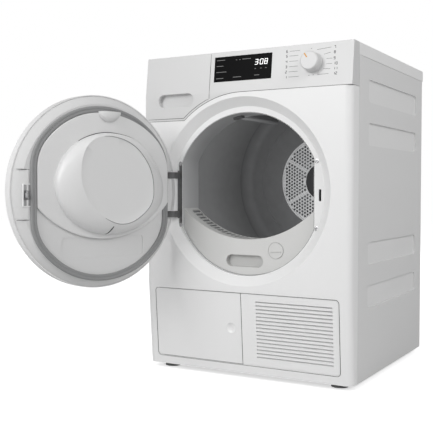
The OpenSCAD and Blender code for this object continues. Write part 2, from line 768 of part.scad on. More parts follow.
module plinth_filter() {
    x0 = -plate_half + 3.3;
    x1 = tunnel_right - 3.3;
    color("#3c8a5a") front() {
        box(x0, x1, tunnel_y + 2, tunnel_y + 5, 40, tunnel_top - 3.3);
        difference() {
            box(x0, x1, tunnel_y + 4, tunnel_y + mouth_d - 1, 40, tunnel_top - 3.3);
            box(x0 + 3, x1 - 3, tunnel_y + 3, tunnel_y + mouth_d + 1, 43, tunnel_top - 6.3);
            box(-150, x1 - 3, 36, 82, tunnel_top - 10, tunnel_top);
        }
        box(x0 + 2, x1 - 2, tunnel_y + mouth_d - 14, tunnel_y + mouth_d - 2, 42, tunnel_top - 6);
        translate([(x0 + x1) / 2, tunnel_y + 3, 126]) rotate([90, 0, 0]) difference() {
            linear_extrude(11) stadium(84, 26);
            translate([0, 0, 1]) linear_extrude(7) stadium(76, 18);
            translate([-30, -20, 1]) cube([60, 40, 7]);
        }
    }
}
module cooling_fan_frame() {
    y0 = 42;
    color(dark) front() difference() {
        box(motor_x - 62, motor_x + 62, y0, y0 + 26, tray_floor, 190);
        rod_y(motor_x, 122, 57, y0 - 1, y0 + 22);
        along_y(y0 + 21, y0 + 27) translate([motor_x, 122]) difference() {
            circle(r = 57);
            circle(r = 20);
            for (a = [45, 135]) rotate(a) square([130, 10], center = true);
        }
        rod_y(motor_x, 122, 3 + fit, y0, y0 + 40);
    }
}
module cooling_fan() {
    y0 = 42;
    color("#1f1f20") front() {
        rod_y(motor_x, 122, 18, y0 + 2, y0 + 20);
        rod_y(motor_x, 122, 3, y0 + 19, y0 + 26);
        for (a = [0:360 / 7:359]) translate([motor_x, 0, 122]) rotate([0, a, 0])
            translate([16, y0 + 11, 0]) rotate([35, 0, 0]) translate([0, -9, -1]) cube([37, 18, 2]);
    }
}
module condensate_pump() {
    color(pale) front() {
        box(-30, 30, 400, 460, tray_floor, tray_floor + 48);
        translate([8, 430, tray_floor + 47]) cylinder(r = 18, h = 20);
        translate([-15, 430, tray_floor + 47]) cylinder(r = 4, h = 9, $fn = 32);
    }
}
module condensate_hose() {
    color("#c9cacb") front() pipe([[-15, 430, tray_floor + 56], [-15, 430, tunnel_top + 7],
        [-272, 430, tunnel_top + 7], [-272, panel_y - 20, tunnel_top + 7],
        [-272, panel_y - 20, tank_top + 8], [-272, 440, tank_top + 8]], 4);
}

// ---- Water container ----
module condensate_container() {
    color("#e4e6e8") front() difference() {
        along_y(tank_y, tank_y + tank_len) tank_outline(0);
        along_y(tank_y + tank_t, tank_y + tank_len - tank_t) tank_outline(-tank_t);
        box(-282, -262, tank_y + tank_len - 40, tank_y + tank_len - 14, tank_top - 5, tank_top + 5);
    }
}
module container_tray() {
    color(grey) front() difference() {
        along_y(shield_y + shield_t, panel_y) difference() {
            tank_outline(2.5);
            tank_outline(gap);
        }
        box(-300, tank_left - gap, 0, 700, 600, 850);
        box(-300, -50, 0, 700, tank_top - 10, 850);
        box(-284, -260, panel_y - 32, panel_y + 1, 600, 850);
    }
}
// The block that the fascia and the container's front are cut from
module head_block(shrink) {
    top = cab_h - shrink;
    back = (shrink + (top - fascia_z) * sin(fascia_a)) / cos(fascia_a);
    translate([-half_w + shrink, 0, 0]) rotate([90, 0, 90]) linear_extrude(cab_w - 2 * shrink)
        polygon([[shrink, fascia_low], [shrink, fascia_z - shrink * tan(fascia_a / 2)],
            [back, top], [60, top], [60, fascia_low]]);
}
module grip_pocket(grow, y1) {
    along_y(-1, y1) translate([-200.3, 730]) stadium(111 + 2 * grow, 35 + 2 * grow);
}
module container_front() {
    color(white) front() difference() {
        union() {
            difference() {
                intersection() {
                    head_block(0);
                    along_y(-1, tank_y) drawer_outline(0);
                }
                intersection() {
                    head_block(2.5);
                    along_y(-1, tank_y + 1) drawer_outline(-2.5);
                }
            }
            intersection() {
                head_block(0);
                grip_pocket(2, tank_y);
            }
        }
        grip_pocket(0, tank_y - 2.5);
    }
}

// ---- Lint filter ----
module lint_filter() {
    color("#c9c9c3") front() difference() {
        union() {
            difference() {
                along_y(lint_y, lint_y + lint_d) lint_outline(0);
                along_y(lint_y + 2, lint_y + lint_d - 2) lint_outline(2);
            }
            along_y(lint_y + 1, lint_y + 16) translate([-5.5, 305.5]) stadium(113, 35);
            along_y(lint_y + 1, lint_y + 12) translate([85, 335.5]) circle(r = 22.5);
        }
        along_y(lint_y - 1, lint_y + 14) translate([-5.5, 305.5]) stadium(109, 31);
        along_y(lint_y - 1, lint_y + 9) translate([85, 335.5]) circle(r = 20.5);
        along_y(lint_y - 1, lint_y + 1.5) translate([85, 335.5]) circle(r = 21.7);
        box(-98, 78, 40, 78, opening_z - opening_r - 20, opening_z - opening_r + 18);
        for (a = [-42:2.8:42]) translate([0, 0, lint_arc_z]) rotate([0, -a, 0])
            box(-4.3, 4.3, lint_y + 30, lint_y + lint_d - 5, -lint_arc_r - 4, -lint_arc_r + 4);
    }
}
module lint_mesh() {
    color("#70757a") front() along_y(lint_y + 3, lint_y + lint_d - 3) difference() {
        lint_outline(2 + gap);
        translate([0, lint_arc_z]) circle(r = lint_arc_r + 3.4, $fn = 180);
        translate([-300, 0]) square([600, 240]);
        difference() {
            translate([-300, 0]) square([600, 600]);
            translate([0, lint_arc_z]) circle(r = lint_arc_r + 4.4, $fn = 180);
        }
    }
}
module fragrance_cap() {
    color("#c9c9c3") front() {
        rod_y(85, 335.5, 20.5 - fit, lint_y - 1.5, lint_y + 9);
        box(70, 100, lint_y - 4, lint_y - 1, 332, 334);
    }
}

// ---- Controls ----
module control_fascia() {
    color(white) front() difference() {
        union() {
            difference() {
                intersection() {
                    head_block(0);
                    along_y(-1, return_d) fascia_outline(0);
                }
                head_block(fascia_t);
            }
            intersection() {
                head_block(0);
                along_y(1, return_d) difference() {
                    fascia_outline(0);
                    fascia_outline(-fascia_t);
                }
            }
            on_fascia() for (x = [-74, 76, 150, 230], z = [18, 92])
                translate([x, 14, z]) rotate([90, 0, 0]) cylinder(r = 3, h = 12, $fn = 32);
            for (x = [0, half_w - corner_r - 42]) box(x, x + 40, sheet, sheet + 3, fascia_z - 8, fascia_z + 3);
            box(-half_w + corner_r + 2, -half_w + corner_r + 42, sheet, sheet + 3, fascia_low - 8, fascia_low + 3);
        }
        along_y(-1, tank_y + 0.6) drawer_outline(0.6);
        along_y(tank_y - 1, 60) tank_outline(0.6);
        display_box(seat, -1, 2);
        display_box(-5, -1, 5);
        on_fascia() translate([knob_x, 10, knob_up]) rotate([90, 0, 0]) cylinder(r = 3 + fit, h = 20);
    }
}
module display_box(grow, y0, y1) {
    on_fascia() along_y(y0, y1) translate([-1, display_up])
        square([display_w + 2 * grow, display_h + 2 * grow], center = true);
}
module display_window() { color("#0b0b0c") front() display_box(0, 0.1, 2); }
module control_board() {
    color("#2f6b45") front() on_fascia() difference() {
        union() {
            box(-80, 240, 14, 15.6, 12, 96);
            box(-72, 70, 4, 14.5, 34, 90);
            box(knob_x - 9, knob_x + 9, 5, 14.5, knob_up - 9, knob_up + 9);
            box(100, 150, 15, 24, 30, 60);
        }
        translate([knob_x, 10, knob_up]) rotate([90, 0, 0]) cylinder(r = 3 + fit, h = 20, center = true);
    }
}
module selector_knob() {
    color(white) front() on_fascia() translate([knob_x, -gap, knob_up]) rotate([90, 0, 0]) {
        rotate_extrude() polygon([[0, 0], [knob_r + 1.5, 0], [knob_r + 1.5, 1.5], [knob_r, 3],
            [knob_r - 0.8, knob_out - 2], [knob_r - 3, knob_out], [0, knob_out]]);
        translate([0, 0, -9]) cylinder(r = 3, h = 10);
    }
}

// ---- Lower front ----
module plinth_outline(x0, x1) {
    intersection() {
        translate([0, -plinth_drop - plinth_h / 2])
            round_rect(plinth_w - 2 * plinth_gap, plinth_h - 2 * plinth_gap, plinth_r - plinth_gap);
        translate([x0, -400]) square([x1 - x0, 500]);
    }
}
module access_flap() {
    top = -plinth_drop - plinth_gap;
    color(white) front() leaned() difference() {
        union() {
            along_y(0, 2.5) plinth_outline(-plate_half, seam_x - 0.8);
            translate([flap_axis_x, flap_axis_y, -plinth_drop - plinth_h + plinth_gap + 9])
                cylinder(r = flap_axis_y, h = plinth_h - 2 * plinth_gap - 18, $fn = 32);
            translate([flap_axis_x, flap_axis_y, -plinth_drop - plinth_h - 2])
                cylinder(r = 1.5 - fit, h = plinth_h + 4, $fn = 24);
            along_y(1, 6.5) translate([-33.6, top - 93]) circle(r = 15);
        }
        translate([-33.6, -22, top - 93]) sphere(r = 26);
    }
}
module vent_grille() {
    z1 = -plinth_drop - 16;
    pitch = 154 / slat_n;
    color(white) front() leaned() difference() {
        union() {
            along_y(0, 3) plinth_outline(seam_x + 0.8, plate_half);
            along_y(sheet, 4) intersection() {
                translate([0, -plinth_drop - plinth_h / 2]) round_rect(plinth_w + 8, plinth_h + 8, plinth_r);
                translate([seam_x + 0.8, -400]) square([400, 500]);
            }
            box(seam_x - 6, seam_x + 4, 2.8, 5, -plinth_drop - plinth_h + 4, -plinth_drop - 4);
            box(142 - slat_w / 2, 148 + slat_w / 2, 2, 6, z1 - 157, z1 + 3);
        }
        for (i = [0:slat_n - 1]) translate([0, 1.5, z1 - (i + 0.5) * pitch]) rotate([25, 0, 0])
            box(145 - slat_w / 2, 145 + slat_w / 2, -12, 12, -pitch * 0.2, pitch * 0.2);
    }
}

// ---- Door, drawn closed and then swung open ----
module arm_bands(grow) {
    for (s = arm_spans) translate([0, 0, s[0] - grow]) linear_extrude(s[1] - s[0] + 2 * grow) children();
}
module hinge_notches() {
    arm_bands(1.5) translate([-260, -door_out + 2.2]) square([60.8, 60]);
}
module door_outer_shell() {
    color(white) front() swung() difference() {
        about_y(0, ring_z) difference() {
            union() {
                translate([0, -door_out]) square([door_r - 5, 5]);
                translate([0, -door_out + 5]) square([door_r, door_out - 5]);
                translate([door_r - 5, -door_out + 5]) circle(r = 5);
            }
            translate([-10, -door_out + 2]) square([door_r + 7.5, door_out]);
            translate([-500, -100]) square([500, 200]);
        }
        hinge_notches();
    }
}
module door_inner_panel() {
    color(white) front() swung() difference() {
        union() {
            about_y(0, ring_z) polygon([[0, 14], [216, 14], [221, 11], [door_r - 3, -1], [door_r - 3, -9],
                [door_r - 5, -9], [door_r - 5, -2], [219.5, 8.5], [214, 11.5], [0, 11.5]]);
            along_y(-door_out + 2, 12) for (z = [320, 650]) translate([0, z]) circle(r = 9, $fn = 32);
            intersection() {
                for (s = arm_spans, z = [s[0] - 8, s[1] + 8]) box(-232, -206, -50, 50, z - 3, z + 3);
                about_y(0, ring_z) polygon([[0, 14], [216, 14], [221, 11], [door_r - 3, -1],
                    [door_r - 3, -door_out + 2], [0, -door_out + 2]]);
            }
        }
        hinge_notches();
        along_y(-5, 40) grip_outline(seat);
        translate([hinge_x, -hinge_out, 0]) cylinder(r = pin_r, h = 900, $fn = 32);
        along_y(12.4, 20) lower_recess(0);
    }
}
module lower_recess(shrink) {
    translate([-3.5, 350]) round_rect(235, 50, 8);
}
module grip_outline(grow) {
    intersection() {
        translate([0, ring_z]) circle(r = door_r - 5.5 + grow, $fn = 180);
        translate([gasket_half + 1 - grow, 421 - grow]) square([60, 117 + 2 * grow]);
    }
}
module door_grip() {
    color(white) front() swung() difference() {
        intersection() {
            along_y(-4, 16) grip_outline(0);
            about_y(0, ring_z) polygon([[150, 30], [205, 15], [221, 11], [door_r, -3],
                [door_r, -20], [150, -20]]);
        }
        box(latch_x - 5, latch_x + 5, 2, 30, latch_z - 24, latch_z + 24);
        translate([latch_x, 7, latch_z]) rotate([0, 90, 0])
            cylinder(r = 1.5, h = 15, center = true, $fn = 24);
    }
}
module door_gasket() {
    color("#8d8e8f") front() swung() along_y(14, recess_in - gap) difference() {
        gasket_outline(0);
        gasket_outline(gasket_w);
    }
}
module door_bulge() {
    color(white) front() swung() difference() {
        union() {
            along_y(14, 21) intersection() {
                gasket_outline(gasket_w + 0.6);
                translate([-6, 625]) circle(r = 255, $fn = 180);
            }
            about_y(-15, 508) polygon([[0, 20], [146, 20], [138, 33], [105, bulge_y], [0, bulge_y]]);
            translate([-17.5, 28, 667]) rotate([90, 0, 0]) cylinder(r = 13, h = 8);
        }
        along_y(13, 18.5) intersection() {
            gasket_outline(gasket_w + 3.1);
            translate([-6, 625]) circle(r = 252.5, $fn = 180);
        }
        about_y(-15, 508) polygon([[0, 13], [143.5, 13], [143.5, 20], [135.8, 32],
            [104, bulge_y - 2.5], [0, bulge_y - 2.5]]);
    }
}
module hinge_pins() {
    color(steel) front() swung() translate([hinge_x, -hinge_out, 0]) for (s = arm_spans)
        translate([0, 0, s[0] - 10]) cylinder(r = pin_r, h = s[1] - s[0] + 20, $fn = 32);
}
module latch_hook() {
    color(steel) front() swung() translate([latch_x - 0.9, 0, latch_z]) rotate([90, 0, 90]) {
        linear_extrude(1.8) difference() {
            union() {
                circle_at(7, 0, 5);
                translate([7, -5]) square([24, 10]);
                polygon([[25, 4], [31, 4], [31, 9], [25, 9]]);
            }
            circle_at(7, 0, 1);
        }
        translate([7, 0, -5.5]) cylinder(r = 1.5 - fit, h = 12.8, $fn = 32);
    }
}
module circle_at(x, y, r) { translate([x, y]) circle(r = r, $fn = 32); }

// ---- Hinge bracket, lock and fixings ----
module hinge_bracket() {
    color("#5c5d5f") front() difference() {
        union() {
            along_y(recess_in, recess_in + 3) hinge_strip(0);
            arm_bands(0) {
                translate([-206, -4]) square([5, recess_in + 5]);
                translate([-203.5, -4]) circle(r = 2.5, $fn = 32);
                translate([hinge_x, -hinge_out]) circle(r = 4.6, $fn = 32);
                translate([-203.5, -4]) rotate(atan2(hinge_out - 4, -203.5 - hinge_x) + 180)
                    translate([0, -2.5]) square([22.9, 5]);
            }
        }
        translate([hinge_x, -hinge_out, 300]) cylinder(r = pin_r + fit, h = 400, $fn = 32);
        for (p = flange_screws) if (p[0] < 0) {
            rod_y(p[0], p[1], screw_r + fit, recess_in - 1, recess_in + screw_in);
            rod_y(p[0], p[1], 2 + fit, recess_in - 1, recess_in + 10);
        }
    }
}
module door_lock() {
    color(dark) front() difference() {
        box(196.5, 219, flange_back + 5, flange_back + 30, latch_z - 26, latch_z + 26);
        latch_slot(0, flange_back + 25);
    }
}
module screws() {
    color("#c4c5c7") front() for (p = flange_screws) {
        rod_y(p[0], p[1], screw_r, recess_in, recess_in + screw_in);
        rod_y(p[0], p[1], 2, recess_in + screw_in - 0.5, recess_in + 12);
    }
}
module power_inlet() {
    color("#202122") front() difference() {
        union() {
            rod_y(-240, 770, 9 - fit, panel_y - 14, panel_y + 3);
            rod_y(-240, 770, 13, panel_y - 3, panel_y);
        }
        rod_y(-240, 770, 5.5, panel_y - 10, panel_y + 5);
    }
}
module drain_spigot() {
    color(pale) front() difference() {
        union() {
            rod_y(240, 770, 12 - fit, panel_y - 8, panel_y + 1);
            rod_y(240, 770, 17, panel_y - 3, panel_y);
            rod_y(240, 770, 6, panel_y - 20, rear_y + 8);
        }
        rod_y(240, 770, 4, panel_y - 21, rear_y + 9);
    }
}

front_panel();
side_panel_left();
side_panel_right();
top_plate();
rear_panel();
base_tray();
feet();
front_shield();
drum_seals();
drum_lamp();
rear_duct();
rear_bearing();
drum_shell();
drum_rear_wall();
drum_air_plate();
drum_hub();
drum_lifters();
drive_belt();
drive_motor();
motor_shaft();
blower_wheel();
blower_housing();
idler_arm();
idler_pulley();
support_roller_left();
support_roller_right();
compressor();
evaporator();
condenser();
refrigerant_pipes();
air_tunnel();
plinth_filter();
cooling_fan();
cooling_fan_frame();
condensate_pump();
condensate_hose();
condensate_container();
container_front();
container_tray();
lint_filter();
lint_mesh();
fragrance_cap();
control_fascia();
display_window();
control_board();
selector_knob();
access_flap();
vent_grille();
door_outer_shell();
door_inner_panel();
door_bulge();
door_gasket();
door_grip();
hinge_pins();
latch_hook();
hinge_bracket();
door_lock();
screws();
power_inlet();
drain_spigot();
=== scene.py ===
import json
import math

import bmesh
import bpy
import numpy as np
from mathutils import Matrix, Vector


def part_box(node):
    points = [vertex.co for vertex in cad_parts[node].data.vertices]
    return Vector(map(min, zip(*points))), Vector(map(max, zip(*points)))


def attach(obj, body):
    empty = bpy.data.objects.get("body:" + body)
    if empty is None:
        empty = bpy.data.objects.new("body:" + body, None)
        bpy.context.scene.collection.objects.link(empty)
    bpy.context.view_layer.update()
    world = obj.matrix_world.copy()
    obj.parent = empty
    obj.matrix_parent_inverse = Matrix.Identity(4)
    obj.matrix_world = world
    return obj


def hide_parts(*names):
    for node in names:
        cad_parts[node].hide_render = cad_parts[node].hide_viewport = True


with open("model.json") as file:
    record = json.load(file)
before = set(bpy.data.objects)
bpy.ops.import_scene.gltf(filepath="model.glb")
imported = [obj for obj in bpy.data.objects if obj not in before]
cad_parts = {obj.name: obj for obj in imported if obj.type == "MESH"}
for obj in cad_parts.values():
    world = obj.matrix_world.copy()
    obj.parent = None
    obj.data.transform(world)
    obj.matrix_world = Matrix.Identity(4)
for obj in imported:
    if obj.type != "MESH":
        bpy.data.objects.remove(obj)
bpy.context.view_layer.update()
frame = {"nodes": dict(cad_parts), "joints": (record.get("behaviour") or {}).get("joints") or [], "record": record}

nodes = frame["nodes"]
bodies = frame["record"]["behaviour"]["bodies"]
body_of = {node: body for body, members in bodies.items() for node in members}

# ---- The room ----
# A pale floor that keeps the machine's soft shadow, in a surround that looks white. Four soft
# lamps: a key in front on the left, weaker ones on the right and behind, and a small one in
# the loading opening.
scene = bpy.context.scene
scene.view_settings.view_transform = "Standard"
front_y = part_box("front_panel")[0].y

# The camera stands in front on the right, level with the opening. Its lens is in millimetres.
turn, tip, roll = math.radians(29.91), math.radians(1.92), math.radians(0.06)
camera = bpy.data.objects.new("camera", bpy.data.cameras.new("camera"))
scene.collection.objects.link(camera)
camera.data.lens = 65.64
camera.location = (0.9574, front_y - 1.7920, 0.4906)
camera.rotation_euler = (math.pi / 2 - tip, -roll, turn)
scene.camera = camera


class Signal:
    """A number or colour worked out over a surface. Its operators add Math nodes."""

    def __init__(self, wiring, socket):
        self.wiring, self.socket = wiring, socket

    def maths(self, operation, other):
        return self.wiring.add("ShaderNodeMath", {"operation": operation}, {0: self, 1: other})

    def __add__(self, other):
        return self.maths("ADD", other)

    def __mul__(self, other):
        return self.maths("MULTIPLY", other)

    __radd__, __rmul__ = __add__, __mul__


class Wiring:
    """A node tree. add() puts in any node, and gives one of its outputs as a Signal."""

    def __init__(self, tree):
        self.tree = tree

    def link(self, value, socket):
        if isinstance(value, Signal):
            self.tree.links.new(value.socket, socket)
        else:
            socket.default_value = value

    def add(self, kind, settings, inputs, output=0):
        node = self.tree.nodes.new(kind)
        for name, value in settings.items():
            if name == "stops":
                for stop, (place, colour) in zip(node.color_ramp.elements, value):
                    stop.position, stop.color = place, (*colour, 1)
            else:
                setattr(node, name, value)
        for name, value in inputs.items():
            self.link(value, node.inputs[name])
        return Signal(self, node.outputs[output])


class Finish(Wiring):
    """A material with one Principled shader, whose fixed sockets are set by name."""

    def __init__(self, name, colour, roughness, metallic=0.0, **fixed):
        self.material = bpy.data.materials.new(name)
        self.material.use_nodes = True
        super().__init__(self.material.node_tree)
        self.shader = self.tree.nodes["Principled BSDF"]
        self.colour = colour
        fixed = {"Base Color": (*colour, 1), "Roughness": roughness, "Metallic": metallic, **fixed}
        for socket, value in fixed.items():
            self.set(socket, value)

    def set(self, socket, value):
        self.link(value, self.shader.inputs[socket])

    def noise(self, scale):
        """Noise in the machine's own metres."""
        place = self.add("ShaderNodeTexCoord", {}, {}, "Object")
        return self.add("ShaderNodeTexNoise", {}, {"Vector": place, "Scale": scale, "Detail": 3.0})

    def grain(self, scale, depth, worn=0.0):
        """A fine bump, and a slow change of gloss from handling."""
        bump = {"Height": self.noise(scale), "Distance": depth, "Strength": 0.5}
        self.set("Normal", self.add("ShaderNodeBump", {}, bump))
        if worn:
            rough = self.shader.inputs["Roughness"].default_value
            self.set("Roughness", self.noise(9.0) * worn + (rough - worn / 2))
        return self

    def mottled(self, share, scale):
        """The colour drifts by a share of itself over the surface."""
        low, high = ([c * (1 + sign * share) for c in self.colour] for sign in (-1, 1))
        ramp = {"stops": [(0.3, low), (0.7, high)]}
        self.set("Base Color", self.add("ShaderNodeValToRGB", ramp, {"Fac": self.noise(scale)}))
        return self


def lamp(name, place, target, size, power):
    """A square soft lamp with sides of the given size, turned to face the target. Only the
    large lamps show in reflections."""
    light = bpy.data.lights.new(name, "AREA")
    light.shape, light.size, light.energy = "SQUARE", size, power
    made = bpy.data.objects.new(name, light)
    scene.collection.objects.link(made)
    made.location = place
    made.rotation_euler = (Vector(target) - Vector(place)).to_track_quat("-Z", "Y").to_euler()
    made.visible_camera = False
    made.visible_glossy = size > 1


lamp("key_lamp", (-1.2, -4.3, 2.4), (0, -0.2, 0.45), 2.4, 99)
lamp("right_lamp", (3.3, -1.3, 2.7), (0, 0, 0.45), 1.8, 49)
lamp("rear_lamp", (-2.8, 3.8, 1.1), (0, 0, 0.45), 1.8, 36)
lamp("drum_fill", (0, -0.19, 0.50), (0, 0.3, 0.50), 0.24, 1.3)

# The surround is white where the camera or glass looks at it, and gives less light elsewhere.
surround_light = 0.42
world = bpy.data.worlds.new("room")
world.use_nodes = True
scene.world = world
air = Wiring(world.node_tree)
seen = air.add("ShaderNodeMath", {"operation": "MAXIMUM"}, {
    0: air.add("ShaderNodeLightPath", {}, {}, "Is Camera Ray"),
    1: air.add("ShaderNodeLightPath", {}, {}, "Is Transmission Ray")})
strength = air.add("ShaderNodeMapRange", {}, {"Value": seen, "To Min": surround_light, "To Max": 1.0})
backdrop = air.tree.nodes["Background"]
air.link((1, 1, 1, 1), backdrop.inputs["Color"])
air.link(strength, backdrop.inputs["Strength"])

# The floor looks pale to the camera, and sends less light up at the machine.
reach = 9.0
floor_mesh = bpy.data.meshes.new("floor")
floor_corners = [(-reach, -reach, 0), (reach, -reach, 0), (reach, reach, 0), (-reach, reach, 0)]
floor_mesh.from_pydata(floor_corners, [], [(0, 1, 2, 3)])
floor = bpy.data.objects.new("floor", floor_mesh)
scene.collection.objects.link(floor)
floor_finish = Finish("floor_paint", (0.5, 0.5, 0.5), 0.9, **{"Emission Strength": 1.0})
for socket, bounced, looked_at in (("Base Color", 0.6, 0.9), ("Emission Color", 0.0, 0.62)):
    looking = floor_finish.add("ShaderNodeLightPath", {}, {}, "Is Camera Ray")
    shades = {"stops": [(0, (bounced,) * 3), (1, (looked_at,) * 3)]}
    floor_finish.set(socket, floor_finish.add("ShaderNodeValToRGB", shades, {"Fac": looking}))
floor_mesh.materials.append(floor_finish.material)

# ---- Painted steel cabinet ----
# The front, lid and sides are deep-drawn sheet steel with a baked white enamel; the paint has
# a very fine orange-peel skin. The rear wall is bare galvanised sheet.
enamel = Finish("white_enamel", (0.86, 0.86, 0.86), 0.34).grain(900, 0.00004, 0.06)
# The sides wear the front's white enamel, painted darker here as shade.
side_painted_shade = Finish("side_painted_shade", (0.75, 0.75, 0.75), 0.42).grain(900, 0.00004, 0.06)
# The recess floors are the side enamel painted paler, painted light.
recess_painted_light = Finish("recess_painted_light", (0.80, 0.80, 0.80), 0.42).grain(900, 0.00004, 0.06)
zinc = Finish("galvanised_sheet", (0.56, 0.57, 0.58), 0.42, 0.85).mottled(0.06, 60)
zinc.grain(260, 0.00002, 0.1)


def shade_smooth(shape, crease):
    """Smooth faces, with a hard edge only where two meet at the crease angle or more."""
    for face in shape.faces:
        face.smooth = True
    for edge in shape.edges:
        edge.smooth = len(edge.link_faces) == 2 and edge.calc_face_angle(0) < crease


def add_piece(name, mesh, node, replaced=()):
    """A new piece with the node's body, standing for the replaced nodes, which are hidden."""
    piece = bpy.data.objects.new(name, mesh)
    scene.collection.objects.link(piece)
    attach(piece, body_of[node])
    if replaced:
        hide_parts(*replaced)
    return piece


def dress(node, finish, bevel=0.0, segments=2, only=None, pierced=False, inner=None):
    """The node's own faces in the given finish, merged and smoothed up to the crease angle,
    with sharp edges broken by a bevel of the given width. With only, a test of an edge's
    middle, no other edge is bevelled. A pierced sheet keeps its triangles, because joining
    them would close its holes. Inner is a finish and a test of the middles of its faces."""
    crease, level, merge = math.radians(28), math.radians(0.4), 2e-6
    mesh = nodes[node].data.copy()
    mesh.name = node + "_skin"
    shape = bmesh.new()
    shape.from_mesh(mesh)
    bmesh.ops.remove_doubles(shape, verts=shape.verts, dist=merge)
    if not pierced:
        bmesh.ops.dissolve_limit(shape, angle_limit=level, verts=shape.verts, edges=shape.edges)
    shade_smooth(shape, crease)
    if only:
        weight = shape.edges.layers.float.new("bevel_weight_edge")
        for edge in shape.edges:
            if not edge.smooth and only((edge.verts[0].co + edge.verts[1].co) / 2):
                edge[weight] = 1
                edge.smooth = True
    shape.to_mesh(mesh)
    shape.free()
    if "custom_normal" in mesh.attributes:
        mesh.attributes.remove(mesh.attributes["custom_normal"])
    mesh.materials.clear()
    mesh.materials.append(finish.material)
    if inner:
        inner_finish, is_inner = inner
        mesh.materials.append(inner_finish.material)
        for face in mesh.polygons:
            face.material_index = int(is_inner(face.center))
    skin = add_piece(node + "_skin", mesh, node, (node,))
    if bevel:
        broken = skin.modifiers.new("broken_edges", "BEVEL")
        broken.width, broken.segments = bevel, segments
        broken.limit_method = "WEIGHT" if only else "ANGLE"
        broken.angle_limit = crease
        broken.harden_normals = True


def inside(*spans):
    """A test of whether a place lies between the low and high metres given for x, y and z."""
    return lambda at: all(low < value < high for value, (low, high) in zip(at, spans))


dress("front_panel", enamel, 0.0006)
dress("top_plate", enamel, 0.0012)

# The pressed recesses have rounded edges, and their floors are the same enamel painted a little
# paler than the sides, painted light.
# Both are found by how deep they lie in from a side's outer face, in metres.
side_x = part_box("side_panel_right")[1].x
edge_depths, floor_depths = (0.0055, -0.0001), (0.0059, 0.0006)
recess_y, recess_z = (-0.192, 0.242), (0.185, 0.775)
for side, sign in (("left", -1), ("right", 1)):
    edges, floors = (inside(sorted(sign * (side_x - depth) for depth in depths), recess_y, recess_z)
                     for depths in (edge_depths, floor_depths))
    dress("side_panel_" + side, side_painted_shade, 0.0028, segments=4, only=edges, inner=(recess_painted_light, floors))
dress("rear_panel", zinc)

# ---- Feet and base ----
# Four rubber-soled levelling feet screw into a moulded base tray, which carries the heat
# pump and the motor.
foot_rubber = Finish("foot_rubber", (0.28, 0.28, 0.28), 0.8).grain(700, 0.0001)
base_plastic = Finish("base_moulding", (0.16, 0.16, 0.165), 0.6).grain(500, 0.00005)
dress("feet", foot_rubber, 0.0008)
dress("base_tray", base_plastic)

# ---- Controls ----
# The fascia, the container's front and the knob are pale gloss mouldings, their white painted
# greyer, painted shade for the leaning face; the grip inside the container's front has that tone.
# The display is a black acrylic window let in flush, with its circuit board behind it.
acrylic = Finish("black_acrylic", (0.003, 0.003, 0.0035), 0.3, **{"Specular IOR Level": 0.03})
acrylic.mottled(0.02, 20)
board_green = Finish("board_laminate", (0.05, 0.2, 0.1), 0.5).mottled(0.2, 90)
# The white of these mouldings is painted greyer here, painted shade.
fascia_painted_shade = Finish("fascia_moulding_painted_shade", (0.66, 0.66, 0.66), 0.32).grain(1200, 0.00002, 0.05)
grip_painted_shade = Finish("grip_moulding_painted_shade", (0.66, 0.66, 0.66), 0.4).grain(1200, 0.00002, 0.05)

container_grip = inside((-0.262, -0.138), (front_y + 0.0015, 0), (0.708, 0.752))
dress("control_fascia", fascia_painted_shade, 0.0006)
dress("container_front", fascia_painted_shade, 0.0008, inner=(grip_painted_shade, container_grip))
dress("display_window", acrylic, 0.0002)
dress("control_board", board_green)
dress("selector_knob", fascia_painted_shade, 0.0006)

# The fascia leans back above a level line. Places on it are millimetres across from the
# machine's middle, up its slope from that line and out from its face, where print stands.
fascia_z, fascia_lean = 743.0, math.radians(6.75)
print_out = 0.06


def on_fascia(across, out, up):
    """Metres in the machine's frame for millimetres on the leaning face and square to it."""
    rise, back = math.cos(fascia_lean), math.sin(fascia_lean)
    return np.stack(np.broadcast_arrays(
        np.asarray(across) / 1000, (-out * rise + np.asarray(up) * back) / 1000 + front_y,
        (fascia_z + out * back + np.asarray(up) * rise) / 1000), -1)


def strokes(name, bars, width, out, finish, node):
    """Thin flat bars on the leaning face, each from one place across and up to another. Its
    corners lie half the width to each side of its ends, and its top stands at out."""
    thickness = 0.12
    sides = ((4, 5, 6, 7), (3, 2, 1, 0), (0, 1, 5, 4), (1, 2, 6, 5), (2, 3, 7, 6), (3, 0, 4, 7))
    points, faces = [], []
    for x0, up0, x1, up1 in bars:
        run = np.array([x1 - x0, up1 - up0])
        half = np.array([-run[1], run[0]]) / max(np.hypot(*run), 1e-9) * width / 2
        corners = np.array([(x0, up0), (x1, up1), (x1, up1), (x0, up0)]) + [-half, -half, half, half]
        faces += [[len(points) + corner for corner in side] for side in sides]
        for level in (out - thickness, out):
            points += on_fascia(corners[:, 0], level, corners[:, 1]).tolist()
    mesh = bpy.data.meshes.new(name)
    mesh.from_pydata(points, [], faces)
    mesh.materials.append(finish.material)
    add_piece(name, mesh, node)


def digit(figure, across, up, wide, tall, slant=0.0):
    """The lit bars of a seven-bar figure whose lower left corner is at across, up. Each bar
    joins two places that are whole widths across and half heights up."""
    bars = {"a": (0, 2, 1, 2), "b": (1, 1, 1, 2), "c": (1, 0, 1, 1), "d": (0, 0, 1, 0),
            "e": (0, 0, 0, 1), "f": (0, 1, 0, 2), "g": (0, 1, 1, 1)}
    lit = {"0": "abcdef", "1": "bc", "2": "abged", "3": "abgcd", "4": "fgbc", "5": "afgcd",
           "6": "afgedc", "7": "abc", "8": "abcdefg", "9": "abcdfg"}[figure]
    half = tall / 2
    return [(across + x0 * wide + slant * z0 * half, up + z0 * half,
             across + x1 * wide + slant * z1 * half, up + z1 * half)
            for x0, z0, x1, z1 in (bars[bar] for bar in lit)]


